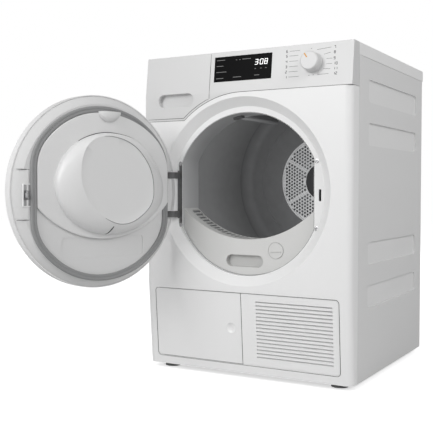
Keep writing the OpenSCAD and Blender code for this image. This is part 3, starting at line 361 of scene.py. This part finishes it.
# The display shows a plain time, with faint bars where words would be.
glow = {"Emission Color": (1, 1, 1, 1)}
lit_white = Finish("lit_white", (0.9, 0.9, 0.9), 0.5, **glow, **{"Emission Strength": 0.7})
lit_white.mottled(0.02, 300)
dim_white = Finish("dim_white", (0.10, 0.10, 0.10), 0.6, **glow, **{"Emission Strength": 0.12})
dim_white.mottled(0.02, 300)
figures = []
for figure, across in (("3", 34), ("0", 48.5), ("8", 61)):
    figures += digit(figure, across, 67.5, 7.4, 13, 0.12)
figures += [(45.2, 70.5, 45.2, 72.2), (46.0, 77, 46.0, 78.7)]
strokes("display_figures", figures, 1.5, print_out, lit_white, "display_window")
legends = [(-78, up, -78 + long, up) for up, long in ((86, 24), (70.5, 20), (54.5, 30), (38, 22))]
legends += [(-22, 84, -18, 84), (-12, 84, -8, 84), (-3, 84.5, 22, 84.5), (-28, 39, -4, 39),
            (34, 40, 48, 40)]
legends += [(across, 57, across + 4, 57) for across in (34, 50, 64)]
strokes("display_legends", legends, 1.3, print_out, dim_white, "display_window")

# Plain numbers stand in two columns beside the knob, with a leader line from each towards it
# and three short marks.
print_grey = Finish("print_grey", (0.03, 0.03, 0.032), 0.6).mottled(0.05, 300)
number_wide, number_tall, number_pitch = 3.4, 6, 6
left_rows, right_rows = (93, 81, 67.3, 54, 41, 28), (94, 81.5, 66.5, 53.5, 41, 29)
leaders = [(130, up, 158 if up > 90 or up < 30 else 154, up) for up in left_rows]
leaders += [(203, 91, 240, 94), (222, 78, 240, 81.5), (229, 66.5, 244, 66.5),
            (229, 53.5, 244, 53.5), (222, 42, 240, 41), (206, 29, 236, 29)]
strokes("leader_lines", leaders, 0.75, print_out, print_grey, "control_fascia")
numbers = []
for row, up in enumerate(left_rows):
    numbers += digit(str(6 - row), 121, up - number_tall / 2, number_wide, number_tall)
for row, up in enumerate(right_rows):
    for place, figure in enumerate(str(7 + row)):
        numbers += digit(figure, 248 + number_pitch * place, up - number_tall / 2, number_wide,
                         number_tall)
numbers += [(187, 95, 189.5, 95), (183.5, 28.5, 186.5, 28.5), (195, 29, 198, 29)]
strokes("dial_numbers", numbers, 1.1, print_out, print_grey, "control_fascia")

# The knob's orange pointer lies on its face, from near the middle to its rim.
pointer_orange = Finish("pointer_orange", (0.72, 0.34, 0.02), 0.5).mottled(0.05, 300)
knob_across, knob_up, knob_face, aim = 193, 59.5, 25.42, math.radians(125)
pointer_ends = [coordinate for radius in (9, 21.5) for coordinate in (
    knob_across + radius * math.cos(aim), knob_up + radius * math.sin(aim))]
strokes("knob_pointer", [pointer_ends], 3.2, knob_face, pointer_orange, "selector_knob")


def from_rings(name, rings, finish, node, replaced=(), capped=True):
    """A closed skin: quads from each ring of points to the next, and either a face over
    each end or quads from the last ring back to the first."""
    crease, merge = math.radians(40), 1e-6
    rings = np.asarray(rings)
    index = np.arange(rings.shape[0] * rings.shape[1]).reshape(rings.shape[:2])
    low, high = (index[:-1], index[1:]) if capped else (index, np.roll(index, -1, 0))
    quads = np.stack([low, np.roll(low, -1, 1), np.roll(high, -1, 1), high], -1).reshape(-1, 4)
    ends = [index[0].tolist(), index[-1].tolist()] if capped else []
    mesh = bpy.data.meshes.new(name)
    mesh.from_pydata(rings.reshape(-1, 3).tolist(), [], quads.tolist() + ends)
    shape = bmesh.new()
    shape.from_mesh(mesh)
    bmesh.ops.remove_doubles(shape, verts=shape.verts, dist=merge)
    bmesh.ops.recalc_face_normals(shape, faces=shape.faces)
    shade_smooth(shape, crease)
    shape.to_mesh(mesh)
    shape.free()
    mesh.materials.append(finish.material)
    add_piece(name, mesh, node, replaced)


def bead(name, path, radius, finish, node):
    """A round bead along the path, thinned to a point at each end: about each place a
    circle square to the run, its radius times the fourth root of a half turn's sine.
    No path here runs along the direction aside."""
    aside = (0.31, 0.87, 0.38)
    run = np.gradient(path, axis=0)
    run /= np.linalg.norm(run, axis=1, keepdims=True)
    across = np.cross(run, aside)
    across /= np.linalg.norm(across, axis=1, keepdims=True)
    third = np.cross(run, across)
    around = np.linspace(0, 2 * np.pi, 13)[:-1, None]
    swell = np.sin(np.pi * np.linspace(0.002, 0.998, len(path))) ** 0.25 * radius / 1000
    rings = [at + size * (np.cos(around) * one + np.sin(around) * two)
             for at, one, two, size in zip(path, across, third, swell)]
    from_rings(name, rings, finish, node)


def front_joint(name, across, up, radius, back, lean=0.0, foot_z=0.0, node="front_panel"):
    """A dark bead of painted shadow over the front at the given millimetres, its middle set back
    behind the surface, and all of it turned back by the lean about the level line at foot_z."""
    across, up = np.broadcast_arrays(np.asarray(across, float), np.asarray(up, float))
    rise = up - foot_z
    path = np.stack([across / 1000,
                     front_y + (back * math.cos(lean) + rise * np.sin(lean)) / 1000,
                     (foot_z - back * math.sin(lean) + rise * np.cos(lean)) / 1000], -1)
    bead(name, path, radius, joint_painted_shadow, node)


def arc_joint(radius, low, high):
    """Across and up: level at low from the machine's left edge to the circle about the door
    ring, then round it to where it passes high, in even steps."""
    start, end = (math.asin(min(1, (height - ring_z) / radius)) for height in (low, high))
    bearings = np.pi - np.linspace(start, end, 90)
    level = np.linspace(-half_width, radius * math.cos(bearings[0]), 30)[:-1]
    across = np.concatenate([level, radius * np.cos(bearings)])
    up = np.concatenate([np.full(len(level), low), ring_z + radius * np.sin(bearings)])
    return across, up


# Narrow dark beads of painted shadow stand for the shaded gaps under the fascia and round the
# container's front, both of which follow the circle of the door ring.
joint_painted_shadow = Finish("joint_shadow", (0.05, 0.05, 0.05), 0.8).grain(500, 0.00004)
ring_z, half_width, lid_z = 486.0, 296.5, 848.0
fascia_r, fascia_foot = 257.0, 676.5
below, drawer_gap, drawer_right = 0.5, 5.5, -96.2
across, up = arc_joint(fascia_r - below, fascia_foot - below, fascia_z - below)
across = np.append(across, np.linspace(3, 297, 60))
up = np.append(up, np.full(60, fascia_z - below))
front_joint("fascia_joint", across, up, 0.65, 0.1)
drawer_r = fascia_r + drawer_gap
drawer_foot = ring_z + math.sqrt(drawer_r ** 2 - drawer_right ** 2)
across, up = arc_joint(drawer_r, fascia_foot + drawer_gap, drawer_foot)
front_joint("drawer_joint_low", across, up, 0.6, 0.1)
front_joint("drawer_joint_side", drawer_right, np.linspace(drawer_foot, fascia_z, 20), 0.6, 0.1)
front_joint("drawer_joint_top", drawer_right, np.linspace(fascia_z, lid_z, 40), 0.6, 0.1,
            fascia_lean, fascia_z)

# ---- Lower front ----
# The flap over the plinth filter and the slatted grille are two white mouldings, side by
# side in the front panel's lower opening, which leans in towards the floor.
moulding = Finish("white_moulding", (0.86, 0.86, 0.86), 0.3).grain(1200, 0.00002, 0.05)
dress("access_flap", moulding, 0.0004)
dress("vent_grille", moulding, pierced=True)

# A dark bead of painted shadow with rounded corners marks the gap round the pair, and an upright
# one the gap between them.
plinth_z, plinth_lean = 240.0, -math.radians(4.5)
corner_r = 9.8
quarters = np.pi / 2 * np.arange(1, 5)[:, None] + np.linspace(0, np.pi / 2, 12)
across = (np.array((-257.5, -257.5, 257.5, 257.5))[:, None] + corner_r * np.cos(quarters)).ravel()
up = (np.array((214.5, 43.7, 43.7, 214.5))[:, None] + corner_r * np.sin(quarters)).ravel()
across, up = np.append(across, across[0]), np.append(up, up[0])
travelled = np.append(0, np.cumsum(np.hypot(np.diff(across), np.diff(up))))
even = np.linspace(0, travelled[-1], 400)
front_joint("plinth_joint", np.interp(even, travelled, across), np.interp(even, travelled, up),
            0.62, 0.2, plinth_lean, plinth_z)
front_joint("flap_joint", -2.5, np.linspace(36.5, 223.5, 60), 0.7, 0.25, plinth_lean, plinth_z)

# ---- Loading opening ----
# The throat and shield behind the opening are one grey moulding, with a small lamp let into
# its roof. The drum turns on a felt ring round it.
throat_grey = Finish("throat_moulding", (0.52, 0.525, 0.53), 0.5).grain(700, 0.00004, 0.05)
felt = Finish("seal_felt", (0.10, 0.10, 0.095), 0.95).mottled(0.3, 900).grain(1500, 0.0002)
lens = Finish("lamp_lens", (0.16, 0.16, 0.165), 0.3).grain(400, 0.00005)
dress("front_shield", throat_grey, 0.0004)
dress("drum_seals", felt)

# A thin dark bead of painted shadow marks the gap between the front's pressed edge and the
# shield, round an opening that is a circle with its sides cut off straight.
opening_r, opening_half, opening_z, opening_back = 211.8, 192.8, 480.0, 21.35
bearings = np.linspace(-np.pi, np.pi, 361)
across = np.clip(opening_r * np.cos(bearings), -opening_half, opening_half)
front_joint("opening_painted_shadow", across, opening_z + opening_r * np.sin(bearings), 0.6, opening_back,
            node="drum_seals")
dress("drum_lamp", lens, 0.0008)

# ---- Drum ----
# Rolled stainless sheet, satin, with a plastic lifter at three places, a pressed rear wall,
# a perforated air plate and a dark hub cap in the middle.
drum_steel = Finish("satin_stainless", (0.27, 0.272, 0.275), 0.4, 0.4).mottled(0.04, 40)
drum_steel.grain(700, 0.00002)
# The rear wall's steel is painted darker than the shell's, painted shade deep in the drum.
back_steel = Finish("dull_stainless_painted_shade", (0.19, 0.192, 0.195), 0.5, 0.3).mottled(0.04, 40)
back_steel.grain(700, 0.00002)
plate_zinc = Finish("air_plate_zinc", (0.66, 0.665, 0.67), 0.45, 0.2).mottled(0.04, 80)
hub_plastic = Finish("hub_moulding", (0.05, 0.05, 0.052), 0.45).grain(600, 0.00004)
# The lifters are painted as dark as the rear wall, painted shade that sinks them into the drum.
lifter_plastic = Finish("lifter_moulding", (0.19, 0.192, 0.195), 0.5).grain(600, 0.00005)
dress("drum_shell", drum_steel)
dress("drum_rear_wall", back_steel)
dress("drum_air_plate", plate_zinc, pierced=True)
dress("drum_hub", hub_plastic, 0.0006)
dress("drum_lifters", lifter_plastic, 0.001)

# ---- Lint filter ----
# A warm grey crescent box that drops into the throat's floor, with a finger grip and a round
# cap for the fragrance holder; fine mesh lies under its slotted upper wall.
warm_grey = Finish("filter_moulding", (0.66, 0.66, 0.65), 0.45).grain(700, 0.00004, 0.06)
mesh_cloth = Finish("filter_mesh", (0.30, 0.305, 0.31), 0.7).mottled(0.3, 1500)
# The finger grip's hollow is painted darker, painted shade.
filter_painted_shade = Finish("painted_shade_in_filter_grip", (0.56, 0.56, 0.55), 0.5).grain(700, 0.00004, 0.06)
painted_shade_in_filter_grip = inside((-0.064, 0.053), (front_y + 0.0302, front_y + 0.0445), (0.286, 0.325))
dress("lint_filter", warm_grey, 0.0005, pierced=True, inner=(filter_painted_shade, painted_shade_in_filter_grip))
dress("fragrance_cap", warm_grey, 0.0005)
dress("lint_mesh", mesh_cloth)

# ---- Door ----
# Two white mouldings clipped together, with a grey rubber gasket round the inner one and a
# domed plug that keeps the laundry in the drum.
# The inner moulding and the grip insert are the white painted darker, painted shade.
door_painted_shade = Finish("door_painted_shade", (0.71, 0.71, 0.71), 0.34).grain(1200, 0.00002, 0.05)
dress("door_outer_shell", moulding, 0.0008)
dress("door_inner_panel", door_painted_shade, 0.0005)

# Places on the door are millimetres as on the closed one: across from the machine's middle,
# out from the cabinet's front towards the drum, and up. The door then turns open.
hinge = next(joint for joint in frame["joints"] if joint["name"] == "door_hinge")
pin_x, pin_y = 1000 * hinge["pos_m"][0], 1000 * (hinge["pos_m"][1] - front_y)
opened = -math.radians(hinge["range_deg"][0])


def swung(across, out, up):
    """Metres in the machine's frame for millimetres on the closed door, turned about the
    pin by the opened angle a: x' = X + (x - X) cos a + (y - Y) sin a, and
    y' = Y - (x - X) sin a + (y - Y) cos a."""
    dx, dy = np.asarray(across) - pin_x, np.asarray(out) - pin_y
    return np.stack(np.broadcast_arrays(
        (pin_x + dx * math.cos(opened) + dy * math.sin(opened)) / 1000,
        (pin_y - dx * math.sin(opened) + dy * math.cos(opened)) / 1000 + front_y,
        np.asarray(up) / 1000), -1)


# The gasket has a round bulb at its outer edge and an inner flange, pressed flat on the
# hinge side. Its outline is a circle cut by two flats, with rounded corners between.
gasket_rubber = Finish("gasket_rubber", (0.285, 0.288, 0.29), 0.65).grain(500, 0.00008)
gasket_z, gasket_r, hinge_shift = 481.3, 215.4, 4.1
bend_x, bend_z, bend_r = 74.5, 59.6, 120.0


def gasket_line(inset):
    """Millimetres across and up: arcs about the middle and about the four corner centres,
    all drawn in by the inset, and the hinge side moved out a little."""
    bend, top = bend_r - inset, gasket_r - inset
    turn_at = math.atan2(bend_z, bend_x)
    near_arc = np.linspace(0, turn_at, 25)
    top_arc = np.linspace(turn_at, np.pi - turn_at, 120)[1:-1]
    far_arc = np.pi - near_arc[::-1]
    flat = np.linspace(0, bend_z, 20)[:-1]
    side = bend_x + bend
    across = np.concatenate([np.full_like(flat, side), bend_x + bend * np.cos(near_arc),
                             top * np.cos(top_arc), -bend_x + bend * np.cos(far_arc),
                             np.full_like(flat[1:], -side)])
    up = np.concatenate([flat, bend_z + bend * np.sin(near_arc), top * np.sin(top_arc),
                         bend_z + bend * np.sin(far_arc), flat[:0:-1]])
    across = np.concatenate([across, -across])
    across = across - hinge_shift * np.clip(-across / 100, 0, 1)
    return across, gasket_z + np.concatenate([up, -up])


# The gasket's profile: how far in from its outer edge, and how far out.
flange_from, flange_flat = 7.5, 18.4
gasket = []
for inset, out in ((0, 14.1), (0, 17.8), (0.5, 19.2), (1.6, 20.2), (3.4, 20.7), (5.4, 20.6), (7.0, 20.0),
                   (8.0, 19.4), (9.0, 19.9), (11.0, 20.5), (13.4, 20.4), (14.8, 19.6), (15.4, 18.2),
                   (15.4, 14.1)):
    across, up = gasket_line(inset)
    spare = (out - flange_flat) * (inset > flange_from) * (out > flange_flat)
    gasket.append(swung(across, out - spare * np.clip(-across / 60, 0, 1), up))
from_rings("gasket_loop", gasket, gasket_rubber, "door_gasket", ("door_gasket",), capped=False)

# The plug is one moulding: a plate inside the gasket with a round lower edge, lapping over
# the gasket's flange on the hinge side, and a dome from an oval foot to a flatter round face.
door_panel = Finish("door_moulding", (0.76, 0.76, 0.76), 0.34).grain(1200, 0.00002, 0.05)
plate_middle, foot_middle, face_middle = np.array(((-15, 510), (-15, 506), (-14, 514)))
cut_middle, cut_r = np.array((-6, 625)), 255
angle = np.linspace(0, 2 * np.pi, 361)[:-1]
rays = np.stack([np.cos(angle), np.sin(angle)], -1)


def around(degrees, reaches):
    """A smooth closed line's reach along each ray: straight from one given bearing to the
    next, then averaged over the rays near by with a bell-shaped weight."""
    near_by = 12
    raw = np.interp(np.degrees(angle), degrees, reaches, period=360)
    window = np.hanning(2 * near_by + 1)
    wrapped = np.concatenate([raw[-near_by:], raw, raw[:near_by]])
    return np.convolve(wrapped, window / window.sum(), "valid")


def plate_edge(lap):
    """The plate's reach from its middle: the gasket's inner line, moved outwards on the
    hinge side by the lap, and cut off below by a large circle."""
    across, up = gasket_line(16.0)
    across = across - lap * np.clip(-across / 150, 0, 1) - plate_middle[0]
    up = up - plate_middle[1]
    bearing = np.arctan2(up, across) % (2 * np.pi)
    order = np.argsort(bearing)
    inner = np.interp(angle, bearing[order], np.hypot(across, up)[order], period=2 * np.pi)
    to_cut = cut_middle - plate_middle
    along = rays @ to_cut
    return np.minimum(inner, along + np.sqrt(along ** 2 - to_cut @ to_cut + cut_r ** 2))


# The plate's profile: how far it laps over the flange, how far in from its edge, and how
# far out. Then the dome's foot and face, by bearing and reach, and its flank's profile, by
# the share of the way from foot to face and how far out.
plug = []
for lap, inset, out in ((0, 0, 14.2), (0, 0, 18.5), (15, 0, 18.8), (15, 0.2, 19.8), (15, 1.0, 20.5),
                        (15, 3.0, 20.8)):
    edge = (plate_edge(lap) - inset)[:, None] * rays + plate_middle
    plug.append(swung(edge[:, 0], out, edge[:, 1]))
foot = foot_middle + rays * around(
    (0, 55, 68, 85, 99, 109, 129, 149, 158, 171, 185, 199, 209, 225, 250, 270, 300, 330),
    (152, 131, 127, 125.4, 125.5, 128, 137, 141, 145, 157, 164, 165, 154, 142, 128, 124, 130, 142))[:, None]
face = face_middle + rays * around(
    (14, 47, 63, 80, 94, 118, 144, 164, 188, 199, 210, 230, 250, 266, 285, 311, 342),
    (101, 116, 115, 108, 103, 100, 99.5, 104, 110, 116, 119, 114, 112, 107, 98, 90, 93))[:, None]
flank = ((-0.05, 21.0), (-0.02, 21.0), (0.0, 21.4), (0.01, 24), (0.03, 28), (0.06, 32.0), (0.13, 36.8),
         (0.25, 42), (0.4, 47.2), (0.58, 52.2), (0.78, 56.6), (0.94, 59.2), (0.985, 59.9), (1.0, 60),
         (1.02, 59.8), (1.06, 59.3))
for share, out in flank:
    ring = foot + (face - foot) * share
    plug.append(swung(ring[:, 0], out, ring[:, 1]))
for size, out in ((0.8, 59.0), (0.5, 58.8), (0.2, 58.7), (0.02, 58.7)):
    ring = face_middle + (face - face_middle) * size
    plug.append(swung(ring[:, 0], out, ring[:, 1]))
from_rings("door_plug", plug, door_panel, "door_bulge", ("door_bulge",))


def on_dome(bearings, shares, lift):
    """Places on the dome at the bearings in degrees and shares of the way up its flank."""
    whole = np.radians(np.asarray(bearings, float)) % (2 * np.pi)
    low, high = (np.stack([np.interp(whole, angle, line[:, k], period=2 * np.pi) for k in (0, 1)], -1)
                 for line in (foot, face))
    at = low + (high - low) * np.asarray(shares)[:, None]
    return swung(at[:, 0], np.interp(shares, *zip(*flank)) + lift, at[:, 1])


# Thin dark beads of painted shadow mark where the dome meets the plate, and a grey one round its
# face on the hinge side. A short dark one, painted shadow too, crosses the flank below.
seam_painted_shadow = Finish("seam_painted_shadow", (0.04, 0.04, 0.041), 0.6).grain(500, 0.00004)
for name, bearings, shares, steps, lift, radius, finish in (
        ("plug_seam", (50, 214), (-0.01, -0.01), 160, 0.3, 1.7, seam_painted_shadow),
        ("face_seam", (72, 290), (0.99, 0.99), 200, 0.0, 1.1, gasket_rubber),
        ("plug_shadow_line", (276, 273), (0.0, 0.7), 20, 0.0, 1.5, seam_painted_shadow)):
    path = on_dome(np.linspace(*bearings, steps), np.linspace(*shares, steps), lift)
    bead(name, path, radius, finish, "door_gasket")

# The finger lug at the top of the plug is half a bowl with a flat top: half circles that
# shrink as they stand further out, the last all but a point.
lug_middle, lug_z, lug_out = -17.5, 683, 20.5
lug_half, lug_drop, lug_proud = 31, 24, 19
lug_arc = np.linspace(np.pi, 2 * np.pi, 41)
lug = []
for tilt in np.linspace(0, np.pi / 2 - 0.02, 12):
    spread = math.cos(tilt) ** 0.7
    lug.append(swung(lug_middle + lug_half * spread * np.cos(lug_arc), lug_out + lug_proud * math.sin(tilt),
                     lug_z + lug_drop * spread * np.sin(lug_arc)))
from_rings("plug_lug", lug, door_panel, "door_bulge")
dress("door_grip", door_painted_shade, 0.0005)

# Fine dark beads of painted shadow show where the grip insert meets the rim; their middles lie
# just under the rim's slope.
rim_across, rim_out = (216, 221, 252), (13.72, 10.7, -1.3)
across = np.linspace(195, 226, 40)
for name, up in (("grip_seam_upper", 538), ("grip_seam_lower", 420.5)):
    path = swung(across, np.interp(across, rim_across, rim_out), up)
    bead(name, path, 0.8, seam_painted_shadow, "door_gasket")


def block(name, across0, across1, out0, out1, up0, up1, finish):
    """A closed box on the door with its four long edges cut back, and its face drawn in a
    little from its sides."""
    cut, face_edge, face_size = 0.4, 0.3, 0.98
    plan = np.array([(across0, up0 + cut), (across0 + cut, up0), (across1 - cut, up0),
                     (across1, up0 + cut), (across1, up1 - cut), (across1 - cut, up1),
                     (across0 + cut, up1), (across0, up1 - cut)])
    middle = plan.mean(0)
    rings = []
    for size, out in ((1, out0), (1, out1 - face_edge), (face_size, out1)):
        ring = middle + (plan - middle) * size
        rings.append(swung(ring[:, 0], out, ring[:, 1]))
    from_rings(name, rings, finish, "door_grip")


# A raised white frame with a grey plate and a dark collar surrounds the latch's hook.
latch_grey = Finish("latch_moulding", (0.36, 0.36, 0.365), 0.5).grain(500, 0.00004)
cast_grey = Finish("bracket_cast", (0.17, 0.17, 0.172), 0.4, 0.4).mottled(0.1, 120)
cast_grey.grain(400, 0.00005)
block("latch_frame_side", 211.0, 213.4, 10.0, 16.2, 451.5, 504.5, moulding)
block("latch_frame_top", 194.0, 212.0, 13.0, 15.8, 502.6, 504.8, moulding)
block("latch_frame_low", 194.0, 212.0, 13.0, 15.8, 451.2, 453.4, moulding)
block("latch_plate", 194.0, 211.2, 13.2, 14.5, 453.2, 502.8, latch_grey)
block("latch_collar", 196.5, 210.4, 14.0, 16.0, 467.0, 489.0, cast_grey)

# ---- Hinge and lock ----
# A zinc-cast bracket screwed to the flange, with two arms to the door's pins, and a sprung
# hook that the lock behind the flange holds.
bright_steel = Finish("bright_steel", (0.6, 0.6, 0.61), 0.25, 1.0).mottled(0.06, 300)
dark_plastic = Finish("dark_moulding", (0.03, 0.03, 0.032), 0.5).grain(500, 0.00005)
dress("hinge_bracket", cast_grey, 0.0006)
dress("hinge_pins", bright_steel, 0.0003)
dress("latch_hook", bright_steel, 0.0003)


def turned(across, up, profile):
    """Rings about a screw's axis: for each radius and depth a circle behind the front."""
    around_axis = np.linspace(0, 2 * np.pi, 33)[:-1]
    return [np.stack(np.broadcast_arrays(
        (across + radius * np.cos(around_axis)) / 1000, front_y + depth / 1000,
        (up + radius * np.sin(around_axis)) / 1000), -1) for radius, depth in profile]


# Four dished screws sit flush in the flange, each in a thin dark ring of painted shadow round its
# head. Their profiles are radii, and depths behind the machine's front.
head_profile = ((1.9, 30), (1.9, 21.5), (5.6, 21.4), (5.7, 21.1), (5.2, 20.85), (4.2, 20.8),
                (2.6, 20.8), (2.5, 21.4), (0.1, 21.45))
shadow_ring_profile = ((5.75, 21.2), (5.75, 20.95), (5.4, 20.92), (5.4, 21.2))
for number, (across, up) in enumerate(((-197.5, 562), (-197.5, 396), (200, 562), (200, 395))):
    from_rings("screw_head_%d" % number, turned(across, up, head_profile), bright_steel, "screws",
               () if number else ("screws",))
    from_rings("screw_shadow_ring_%d" % number, turned(across, up, shadow_ring_profile), cast_grey, "screws",
               capped=False)
dress("door_lock", dark_plastic, 0.0005)

# ---- Water container ----
# A blow-moulded tank behind the fascia, on a tray that runs to the rear wall. A pump in the
# base lifts the water to it through a hose up the back.
tank_plastic = Finish("tank_moulding", (0.72, 0.74, 0.76), 0.35).grain(300, 0.0001)
dress("condensate_container", tank_plastic, 0.0008)
dress("container_tray", throat_grey)
dress("condensate_hose", tank_plastic)
dress("condensate_pump", tank_plastic, 0.0008)

# ---- Drive ----
# A motor in the base turns the blower on its shaft and the drum by a flat belt, kept taut by
# an idler; two rubber rollers carry the front of the drum.
belt_rubber = Finish("belt_rubber", (0.03, 0.03, 0.03), 0.75).grain(800, 0.00006)
dress("drive_belt", belt_rubber)
dress("drive_motor", zinc, 0.0008)
dress("motor_shaft", bright_steel)
dress("blower_wheel", throat_grey)
dress("blower_housing", tank_plastic)
dress("idler_arm", zinc)
dress("idler_pulley", dark_plastic)
dress("support_roller_left", belt_rubber, 0.0006)
dress("support_roller_right", belt_rubber, 0.0006)
dress("rear_bearing", bright_steel)
dress("rear_duct", zinc)

# ---- Heat pump ----
# A sealed compressor feeds two finned exchangers in the lower air tunnel through copper
# pipes; a small fan cools it, and the filter behind the flap keeps lint off the fins.
compressor_paint = Finish("compressor_enamel", (0.03, 0.03, 0.032), 0.4).grain(400, 0.00006)
fin_metal = Finish("fin_aluminium", (0.62, 0.58, 0.5), 0.4, 0.8).mottled(0.08, 200)
copper = Finish("copper_tube", (0.62, 0.3, 0.18), 0.35, 1.0).mottled(0.15, 60)
green_plastic = Finish("filter_green", (0.06, 0.26, 0.13), 0.5).grain(400, 0.00005)
dress("compressor", compressor_paint, 0.001)
dress("evaporator", fin_metal)
dress("condenser", fin_metal)
dress("refrigerant_pipes", copper)
dress("air_tunnel", tank_plastic)
dress("plinth_filter", green_plastic, 0.0006)
dress("cooling_fan", dark_plastic)
dress("cooling_fan_frame", dark_plastic)

# ---- Connections ----
# The mains inlet and the spigot for a drain hose are small mouldings let into the rear
# panel.
dress("power_inlet", dark_plastic, 0.0005)
dress("drain_spigot", tank_plastic, 0.0004)
